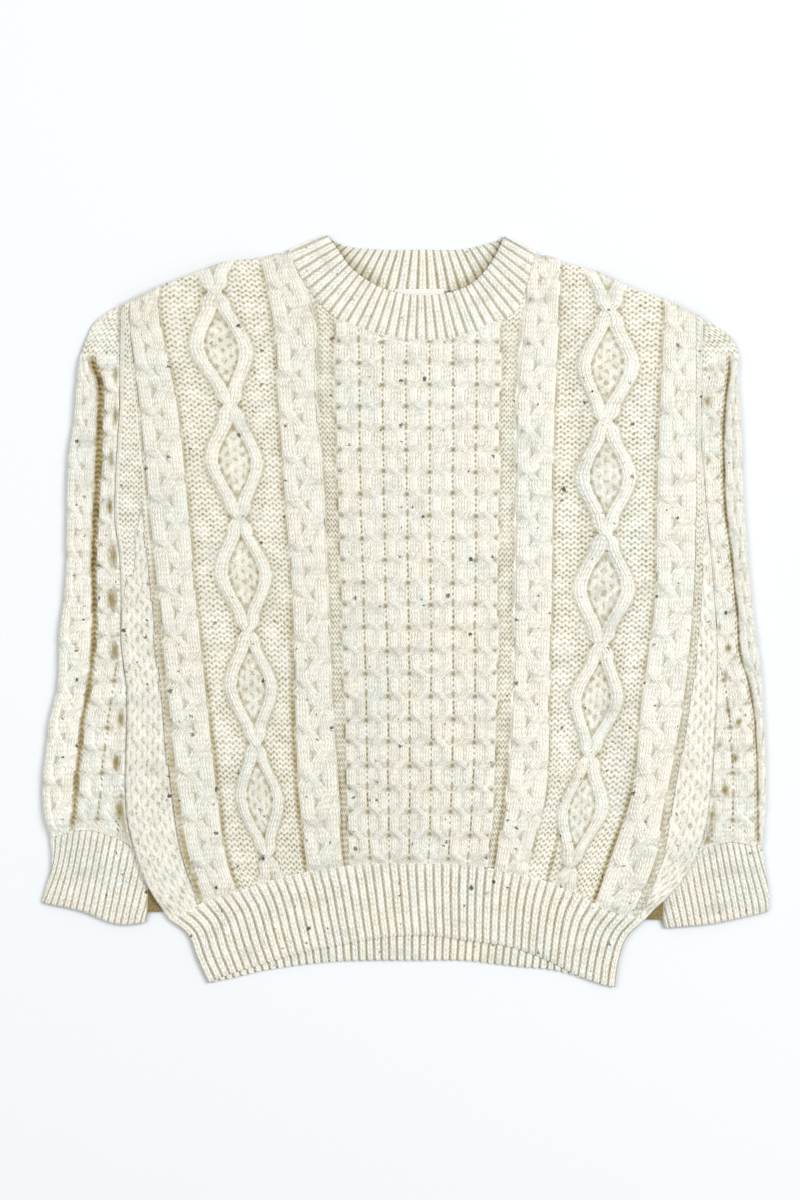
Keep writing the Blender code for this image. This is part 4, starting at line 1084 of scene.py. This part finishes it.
def hem_back():
    """The back's hem reaches lower, so a strip of its inside shows below the front's hem."""
    share = even(HEM_RIBS * RIB_COLUMNS + 1)
    middle = along(pushed(HEM_EDGE, -HEM_BEHIND), share)
    bottom = along(BACK_HEM_EDGE, share)
    middle[:, 1] = np.minimum(middle[:, 1], bottom[:, 1] - 4)
    start = straight_shares(HEM_SEAM, share, 1.0)
    hidden = even(HIDDEN_ROWS + 1)[:-1, None, None]
    shown = even(SHOWN_ROWS)[:, None, None]
    spot = np.concatenate([start + hidden * (middle - start), middle + shown * (bottom - middle)])
    x, down = spot[..., 0], spot[..., 1]
    for edge, line, inset, near in ((0, HEM_LEFT, 3.4, 1 - share), (-1, HEM_RIGHT, -3.4, share)):
        side = along(line, even(60))
        shift = np.interp(down[:, edge], side[:, 1], side[:, 0]) + inset - x[:, edge]
        x = x + shift[:, None] * near**4
    fall = np.concatenate([np.zeros(HIDDEN_ROWS), even(SHOWN_ROWS)])[:, None]
    row = down / HEM_ROW
    rib, facts = ribbing(share[None], row, HEM_RIBS, 1.0)
    teeth = np.cos(2 * np.pi * share * HEM_RIBS)
    down = down - 1.2 * (0.5 + 0.5 * teeth) * fall**3
    reach = unit((bottom[:, 1] - middle[:, 1] - 4) / 8)
    height = LIP + (WALL - LIP) * edge_round((1 - fall) * HEM_SHOWN, 2.5) + lift(x, down)
    height = height + RIB * (rib - 0.25) * reach * ease(fall * 3)
    facts["crevice"] = facts["groove"]
    return closed_sheet("hem_back_cloth", x, down, height, facts, x, down, lift)


NECK_TURNS = [(3.2, 3.2), (0.6, 0.15)]  # reach and height round the band's folds, outside and inside
FRONT_VALLEY, BACK_VALLEY = 0.68, 0.9  # how dark the shade painted between the collar's ribs is
BAND_ROWS = 38
BAND_COLUMNS = 10  # at each of its folds


def with_height(spots, height):
    """Points from places and heights."""
    height = np.broadcast_to(height, spots.shape[:-1])
    return np.concatenate([spots, height[..., None]], axis=-1)


def band_turn(spots, angles):
    """Cloth round a fold of the collar, on its outer face and on its inner one."""
    run = spots[-1] - spots[0]
    normal = np.array([run[1], -run[0]]) / np.hypot(*run)
    normal = normal if normal[1] < 0 else -normal
    c, s = np.cos(np.radians(angles))[:, None], np.sin(np.radians(angles))[:, None]
    middle = NECK_ABOVE - 0.5
    turns = [(spots + normal * reach * c[..., None], middle + height * s) for reach, height in NECK_TURNS]
    return [with_height(*turn) for turn in turns]


def neckband():
    """A ring of ribbing pressed flat: its front half lies on its back half, whose inside shows above it."""
    shares = even(BAND_ROWS)
    rows = shares * NECK_DEPTH / RIB_ROW
    ends = rib_ends(shares, 0.5, 0.08, 0.06, 0.2)
    drop = 1.2 * (1 - edge_round((1 - shares) * NECK_DEPTH, 3))
    seam_step = 1.1 * (1 - ease(shares * NECK_DEPTH / 3.5))

    def half(seam_line, edge_line, ribs, valley):
        share = even(ribs * RIB_COLUMNS + 1)
        seams, edges = along(seam_line, share), along(edge_line, share)
        spots = seams[:, None] + shares[:, None] * (edges - seams)[:, None]
        rib, told = ribbing(share[:, None], rows[None], ribs, valley)
        # Painted shade in the valleys, paler towards both ends of each half.
        told["crevice"] = told["groove"] * (0.5 + 0.5 * np.sin(np.pi * share) ** 0.5)[:, None]
        return spots, rib, told

    front, rib, front_told = half(NECK_SEAM, NECK_EDGE, NECK_RIBS, FRONT_VALLEY)
    front_high = with_height(front, NECK_ABOVE + WALL - 0.2 + RIB * rib * ends - drop - seam_step)
    front_low = with_height(front, NECK_ABOVE)
    back, rib, back_told = half(BACK_NECK_SEAM, BACK_NECK_EDGE, BACK_NECK_RIBS, BACK_VALLEY)
    back_high = with_height(back, NECK_BELOW + 0.95 * RIB * rib * ends - drop)
    back_low = with_height(back, 0.0)
    # Painted shadow on the back half, beside the front half's edge and strongest towards both sides.
    above = across(NECK_EDGE, back[..., 0]) - back[..., 1]
    beside = unit((np.abs(back[..., 0] - 9) - 22) / 20)
    back_told["crevice"] += 0.5 * bell(above, 11) * beside
    angles = np.linspace(60, -60, BAND_COLUMNS)
    right, left = band_turn(front[-1], angles), band_turn(back[0], -angles)
    outer = np.concatenate([front_high, right[0], back_low[::-1], left[0]])
    inner = np.concatenate([front_low, right[1], back_high[::-1], left[1]])
    told, inner_told = {}, {}
    # The collar's folds get a little painted shade, 0.1.
    for key, fill in zip(FACTS, (0.25, 0.0, KNIT, 0.1, 0.0)):
        fold = np.full((BAND_COLUMNS, BAND_ROWS), fill)
        plain_front, plain_back = [np.full_like(facts["u"], fill) for facts in (front_told, back_told)]
        told[key] = np.concatenate([front_told[key], fold, plain_back, fold])
        inner_told[key] = np.concatenate([plain_front, fold, back_told[key][::-1], fold])
    faces = [to_space(p[..., 0], p[..., 1], p[..., 2]) for p in (outer, inner)]
    return rolled_sheet("neckband_cloth", *faces, told, inner_told)


# %% [markdown]
# ## Wool
#
# The yarn is undyed cream wool with black, grey and brown specks, and a few rows have a bluish streak where
# the spinner's fleece was darker. Wool is matt and a little translucent, so its shade is warm: crevices are
# painted with grey, ochre and dark brown shade, not grey alone. One node group colours the yarn and paints
# that shade, and a second one draws the legs of each stitch from the stitch map, with painted shade in the
# gaps between them.

# %% Node helpers
def add_node(tree, kind, **settings):
    node = tree.nodes.new(kind)
    for name, value in settings.items():
        setattr(node, name, value)
    return node


def feed(node, values):
    """Links each of these inputs of a node to a socket, or sets its value."""
    for name, value in values.items():
        if isinstance(value, bpy.types.NodeSocket):
            node.id_data.links.new(value, node.inputs[name])
        else:
            node.inputs[name].default_value = value
    return node


def calculate(operation, *values, clamp=False):
    """A sum of sockets and numbers, in the tree that its sockets belong to."""
    tree = next(value.id_data for value in values if isinstance(value, bpy.types.NodeSocket))
    node = add_node(tree, "ShaderNodeMath", operation=operation, use_clamp=clamp)
    return feed(node, dict(enumerate(values))).outputs[0]


plus, minus, times, times_plus = [
    partial(calculate, operation) for operation in ("ADD", "SUBTRACT", "MULTIPLY", "MULTIPLY_ADD")
]


def mixed(share, first, second):
    """A colour between two others."""
    node = add_node(share.id_data, "ShaderNodeMix", data_type="RGBA")
    return feed(node, {0: share, 6: first, 7: second}).outputs[2]


def band(value, low, high, least=0.0, most=1.0):
    """From least at low to most at high."""
    node = add_node(value.id_data, "ShaderNodeMapRange")
    return feed(node, dict(enumerate((value, low, high, least, most)))).outputs[0]


def noise(vector, scale, detail=2.0):
    node = add_node(vector.id_data, "ShaderNodeTexNoise")
    return feed(node, {"Vector": vector, "Scale": scale, "Detail": detail}).outputs


def parts_of(socket, kind="XYZ"):
    """The three numbers of a vector or, where kind is Color, of a colour."""
    return feed(add_node(socket.id_data, f"ShaderNodeSeparate{kind}"), {0: socket}).outputs


def linear(red, green, blue):
    """A colour from its values on a screen, from 0 to 255."""
    parts = [part / 255 for part in (red, green, blue)]
    return (*[p / 12.92 if p <= 0.04045 else ((p + 0.055) / 1.055) ** 2.4 for p in parts], 1.0)


def new_group(name, inputs, outputs):
    """A shader node group with named sockets: its tree, its inputs' sockets and its output node."""
    tree = bpy.data.node_groups.new(name, "ShaderNodeTree")
    for direction, sockets in (("INPUT", inputs), ("OUTPUT", outputs)):
        for socket, kind in sockets.items():
            tree.interface.new_socket(socket, in_out=direction, socket_type=f"NodeSocket{kind}")
    return tree, add_node(tree, "NodeGroupInput").outputs, add_node(tree, "NodeGroupOutput")


def new_material(name):
    """A material's tree and its shader."""
    material = bpy.data.materials.new(name)
    material.use_nodes = True
    return material.node_tree, material.node_tree.nodes["Principled BSDF"]


# %% The yarn's colour
CREAM = linear(245, 241, 230)
WARM_CREAM = linear(247, 239, 226)
COOL_CREAM = linear(236, 239, 231)
STREAK = linear(182, 184, 176)
STREAK_SHARE = 0.65
PAINTED_SHADES = [  # shade painted in crevices and gaps: its colour, and the depths at which it starts and is full
    (0.0, 0.55, linear(188, 183, 165)), (0.56, 1.0, linear(155, 139, 96)), (1.05, 1.5, linear(98, 80, 40)),
]
FLECKS = [(48, 0.3, 0.0024), (105, 0.24, 0.0011)]  # cells to the metre, chance of a fleck, radius
FLECK_COLOURS = [linear(38, 38, 40), linear(90, 92, 94), linear(110, 84, 64)]
FLECK_WOBBLE = (0.0065, 0.0065, 0.0065)  # metres that noise moves a fleck's edge


def flecks(place, scale, chance, radius):
    """Specks of dark wool with uneven edges: where they are, and a random number for each."""
    moved = add_node(place.id_data, "ShaderNodeVectorMath", operation="MULTIPLY_ADD")
    feed(moved, {0: noise(place, 560, 3.0)["Color"], 1: FLECK_WOBBLE, 2: place})
    cells = add_node(place.id_data, "ShaderNodeTexVoronoi", voronoi_dimensions="2D")
    feed(cells, {"Vector": moved.outputs[0], "Scale": scale})
    random = parts_of(cells.outputs["Color"], "Color")
    size = times(band(random[0], 1 - chance, 1.0), radius * scale)
    inside = minus(size, cells.outputs["Distance"])
    return band(inside, 0.0, 0.35 * radius * scale), random[1]


def yarn_colour():
    """Cream wool with specks and streaks, and painted shade: greyer in dips and ochre in crevices."""
    tree, given, result = new_group(
        "yarn colour", {"Place": "Vector", "Row": "Float", "Crevice": "Float"}, {"Color": "Color"},
    )
    place = given["Place"]
    patch = noise(place, 24)[0]
    tone = mixed(band(patch, 0.3, 0.5), COOL_CREAM, CREAM)
    tone = mixed(band(patch, 0.5, 0.72), tone, WARM_CREAM)
    along_row = add_node(tree, "ShaderNodeCombineXYZ")
    feed(along_row, {0: times(parts_of(place)[0], 30.0), 1: times(given["Row"], 0.3)})
    streak = noise(along_row.outputs[0], 1.0, 3.0)[0]
    tone = mixed(times(band(streak, 0.55, 0.8), STREAK_SHARE), tone, STREAK)
    grain = band(noise(place, 640, 3.0)[0], 0.42, 0.72)
    depth = times_plus(grain, 0.2, given["Crevice"])
    for low, high, shade in PAINTED_SHADES:
        tone = mixed(band(depth, low, high), tone, shade)
    for kind in FLECKS:
        spots, pick = flecks(place, *kind)
        hue = mixed(band(pick, 0.45, 0.5), *FLECK_COLOURS[:2])
        hue = mixed(band(pick, 0.75, 0.8), hue, FLECK_COLOURS[2])
        tone = mixed(times(spots, 0.9), tone, hue)
    feed(result, {"Color": tone})
    return tree


# %% The gaps between stitches, and their painted shade
KNIT_GAP_SHADE, PURL_GAP_SHADE, MOSS_GAP_SHADE = 0.54, 0.72, 0.46  # how dark the shade painted in the gaps is
PURL_SHADE, MOSS_SHADE = 0.15, 0.17  # painted shade, as the wrong side lies lower: a little darker all over


def below_one(value):
    """What is left of 1."""
    return minus(1.0, value, clamp=True)


def narrow(value, power):
    """From 1 where the value is 0, down to 0 where it is 1: the higher the power, the sooner."""
    return calculate("POWER", below_one(value), power)


def wave(value, turns=1):
    """Half waves from 0 to 1."""
    return calculate("ABSOLUTE", calculate("SINE", times(value, turns * math.pi)))


def stitch_gap_shading():
    """Painted shade in the gaps between legs and rows of stitches, and how high the yarn stands between
    them.
    """
    tree, given, result = new_group(
        "stitch gap shading", {"Place": "Vector", "Stitches": "Vector", "Side": "Float", "Meeting": "Float"},
        {"Gap Shade": "Float", "Height": "Float", "Row": "Float"},
    )
    stray = parts_of(noise(given["Place"], 130)["Color"], "Color")
    stitch, row, _ = parts_of(given["Stitches"])
    u = times_plus(minus(stray[0], 0.5), 0.5, stitch)
    v = times_plus(minus(stray[1], 0.5), 0.7, row)
    legs = wave(u, 2)
    side = calculate("PINGPONG", plus(u, 0.5), 0.5)
    links = wave(times_plus(side, 2 * LEG_SLANT, v))
    ticks = times(narrow(legs, 2.0), times_plus(links, 0.7, 0.3))
    knit_gap_shade = calculate("MAXIMUM", ticks, times(narrow(links, 2.5), 0.8))
    swing = calculate("COSINE", times(u, 2 * math.pi))
    chains = wave(times_plus(swing, CHAIN_SWING, v))
    purl_gap_shade = times(narrow(chains, 1.3), times_plus(swing, swing, 0.12))
    loose = times_plus(noise(given["Place"], 260)[0], 1.6, minus(u, 0.8))
    lines = wave(loose)
    half_turn = times(calculate("FLOOR", plus(loose, 0.5)), 0.5)
    breaks = wave(times_plus(v, 0.5, half_turn))
    moss_gap_shade = times(narrow(lines, 3.2), band(breaks, 0.45, 0.9))
    moss, knit = minus(given["Side"], 1.0, clamp=True), below_one(given["Side"])
    purl = minus(minus(1.0, moss), knit, clamp=True)

    def chosen(of_knit, of_purl, of_moss):
        return times_plus(of_moss, moss, times_plus(of_purl, purl, times(of_knit, knit)))

    gaps = chosen(
        times(knit_gap_shade, KNIT_GAP_SHADE), times_plus(purl_gap_shade, PURL_GAP_SHADE, PURL_SHADE),
        times_plus(moss_gap_shade, MOSS_GAP_SHADE, MOSS_SHADE),
    )
    uneven = times(gaps, band(noise(given["Place"], 90, 3.0)[0], 0.3, 0.7, 0.4, 1.5))
    height = chosen(times(legs, links), chains, lines)
    whole = below_one(given["Meeting"])
    feed(result, {"Gap Shade": times(uneven, whole), "Height": times(height, whole), "Row": v})
    return tree


# %% Wool and label cloth
THREAD = 0.0006  # metres from one thread of the tape to the next


def wool():
    """The sweater's wool."""
    tree, shader = new_material("cream wool")
    places = add_node(tree, "ShaderNodeTexCoord").outputs["Object"]
    stitches = add_node(tree, "ShaderNodeUVMap", uv_map="stitches").outputs[0]
    side, crevice, meeting = [
        add_node(tree, "ShaderNodeAttribute", attribute_name=name).outputs["Fac"] for name in FACTS[2:]
    ]
    gaps = add_node(tree, "ShaderNodeGroup", node_tree=stitch_gap_shading())
    feed(gaps, {"Place": places, "Stitches": stitches, "Side": side, "Meeting": meeting})
    # Painted shade: a crevice's shade hides most of the gaps' painted shade, and the two are added.
    open_cloth = times_plus(crevice, -0.7, 1.0, clamp=True)
    depth = times_plus(gaps.outputs["Gap Shade"], open_cloth, crevice)
    yarn = add_node(tree, "ShaderNodeGroup", node_tree=yarn_colour())
    feed(yarn, {"Place": places, "Row": gaps.outputs["Row"], "Crevice": depth})
    height = times_plus(noise(places, 900, 4.0)[0], 0.6, gaps.outputs["Height"])
    bump = add_node(tree, "ShaderNodeBump")
    feed(bump, {"Height": height, "Distance": 0.0006, "Strength": 0.9})
    feed(shader, {
        "Base Color": yarn.outputs["Color"], "Normal": bump.outputs[0], "Roughness": 0.92,
        "Sheen Weight": 0.25, "Sheen Roughness": 0.5, "Specular IOR Level": 0.2,
    })


def label_cloth():
    """Woven tape: fine threads both ways."""
    tree, shader = new_material("label tape")
    x, y, _ = parts_of(add_node(tree, "ShaderNodeTexCoord").outputs["Object"])
    weave = times(*[calculate("SINE", times(place, 2 * math.pi / THREAD)) for place in (x, y)])
    tone = mixed(band(weave, -1.0, 1.0), linear(226, 224, 213), linear(242, 240, 231))
    bump = feed(add_node(tree, "ShaderNodeBump"), {"Height": weave, "Distance": 0.0001})
    feed(shader, {"Base Color": tone, "Normal": bump.outputs[0], "Roughness": 0.7, "Sheen Weight": 0.1})


wool()
label_cloth()
print("node groups:", [group.name for group in bpy.data.node_groups])

# %% [markdown]
# ## Making the sweater
#
# Now every sheet is made, and each hides the solid that it stands for. The sleeves come first, then
# the front over them.

# %% Make every sheet
for side in SLEEVES:
    as_cloth(sleeve(side), f"sleeve_{side}")
    as_cloth(cuff(side), f"cuff_{side}")
for name, columns in front_columns.items():
    as_cloth(front_sheet(name, columns), "front_panel")
as_cloth(hem_front(), "hem_front")
as_cloth(hem_back(), "hem_back")
as_cloth(neckband(), "neckband")


# %% The back and its label
BACK_ROWS, BACK_COLUMNS = 110, 100
LABEL_PLACE = (12.5, 55.5)
LABEL_SIZE, LABEL_THICKNESS = (0.045, 0.011), 0.0006  # metres


def back():
    """The back's cloth, between the front and the surface."""
    inset = FOLD_UNDER[0][0] + 0.2
    across_body = even(BACK_COLUMNS)
    edge = top_line(BACK_NECK_SEAM, 0.4)
    down = rows_between(*FIRST_GUESS, BACK_ROWS, BACK_COLUMNS)
    for _ in range(SETTLE_STEPS):
        left, right = body_side("left", down) + inset, body_side("right", down) - inset
        x = left + across_body * (right - left)
        top = np.interp(x[0], *edge) + inset * 0.5
        bottom = across(HEM_SEAM, x[-1]) - GAP
        down = rows_between(top, bottom, BACK_ROWS, BACK_COLUMNS)
    height = lift(x, down) + WALL - 0.2
    facts = {**plain_facts(x, down), "v": rows_of(down)}
    return closed_sheet("back_cloth", x, down, height, facts, x, down, lift)


def label():
    """The woven label: a small flat tape below the back neck seam."""
    bpy.ops.mesh.primitive_cube_add(size=1, location=to_space(*LABEL_PLACE, NECK_ABOVE - 0.3))
    tape = bpy.context.object
    tape.name = tape.data.name = "label_tape"
    tape.scale = (*LABEL_SIZE, LABEL_THICKNESS)
    bpy.ops.object.transform_apply(location=True, rotation=False, scale=True)
    with edit_mode("SELECT"):
        bpy.ops.mesh.bevel(offset=0.0002, segments=2)
        bpy.ops.mesh.select_all(action="SELECT")
        bpy.ops.mesh.subdivide(number_cuts=3)
    bpy.ops.object.shade_smooth_by_angle(angle=math.radians(40))
    tape.data.materials.append(bpy.data.materials["label tape"])
    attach(tape, "root")
    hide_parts("neck_label")
    return tape


as_cloth(back(), "back_panel")
print("the label's faces:", len(label().data.polygons))

# %% [markdown]
# ## The studio
#
# The sweater lies on a plain pale surface under a large soft light, so that its relief shows in soft shadows
# and the warm shade painted in its crevices isn't lost. The camera looks straight down.

# %% Surface, lights and camera
bpy.ops.mesh.primitive_plane_add(size=6, location=(0, 0, -0.0003))
surface = bpy.context.object
surface.name = "surface"
tree, shader = new_material("white paper")
grain = feed(add_node(tree, "ShaderNodeTexNoise"), {"Scale": 3})
tint = mixed(grain.outputs[0], linear(218, 220, 221), linear(221, 223, 224))
feed(shader, {"Base Color": tint, "Roughness": 0.95, "Specular IOR Level": 0.0})
surface.data.materials.append(bpy.data.materials["white paper"])

world = bpy.data.worlds.new("studio")
world.use_nodes = True
feed(world.node_tree.nodes["Background"], {"Color": (0.95, 0.98, 1.0, 1), "Strength": 0.615})
bpy.context.scene.world = world

LIGHTS = [((2.4, 0.9, 3.6), 2.0, 135.0), ((-2.0, 0.6, 3.0), 1.8, 42.0)]  # place, size and watts
for number, (place, size, watts) in enumerate(LIGHTS):
    bpy.ops.object.light_add(type="AREA", location=place)
    light = bpy.context.object
    light.name = f"soft_light_{number + 1}"
    light.data.size = size
    light.data.energy = watts
    aim = -np.array(place) / np.linalg.norm(place)
    light.rotation_euler = (math.acos(-aim[2]), 0, math.atan2(aim[1], aim[0]) + math.pi / 2 + math.pi)

bpy.ops.object.camera_add(location=(-0.00495, 0.00925, 2.41), rotation=(0, 0, 0))
camera = bpy.context.object
camera.data.lens = 80
camera.data.sensor_fit = "VERTICAL"
camera.data.sensor_height = 36
camera.data.clip_end = 50
bpy.context.scene.camera = camera
bpy.context.scene.view_settings.view_transform = "Standard"
print("camera", round(camera.location.z, 3), "m above the surface")

# %% The end
bpy.context.view_layer.update()
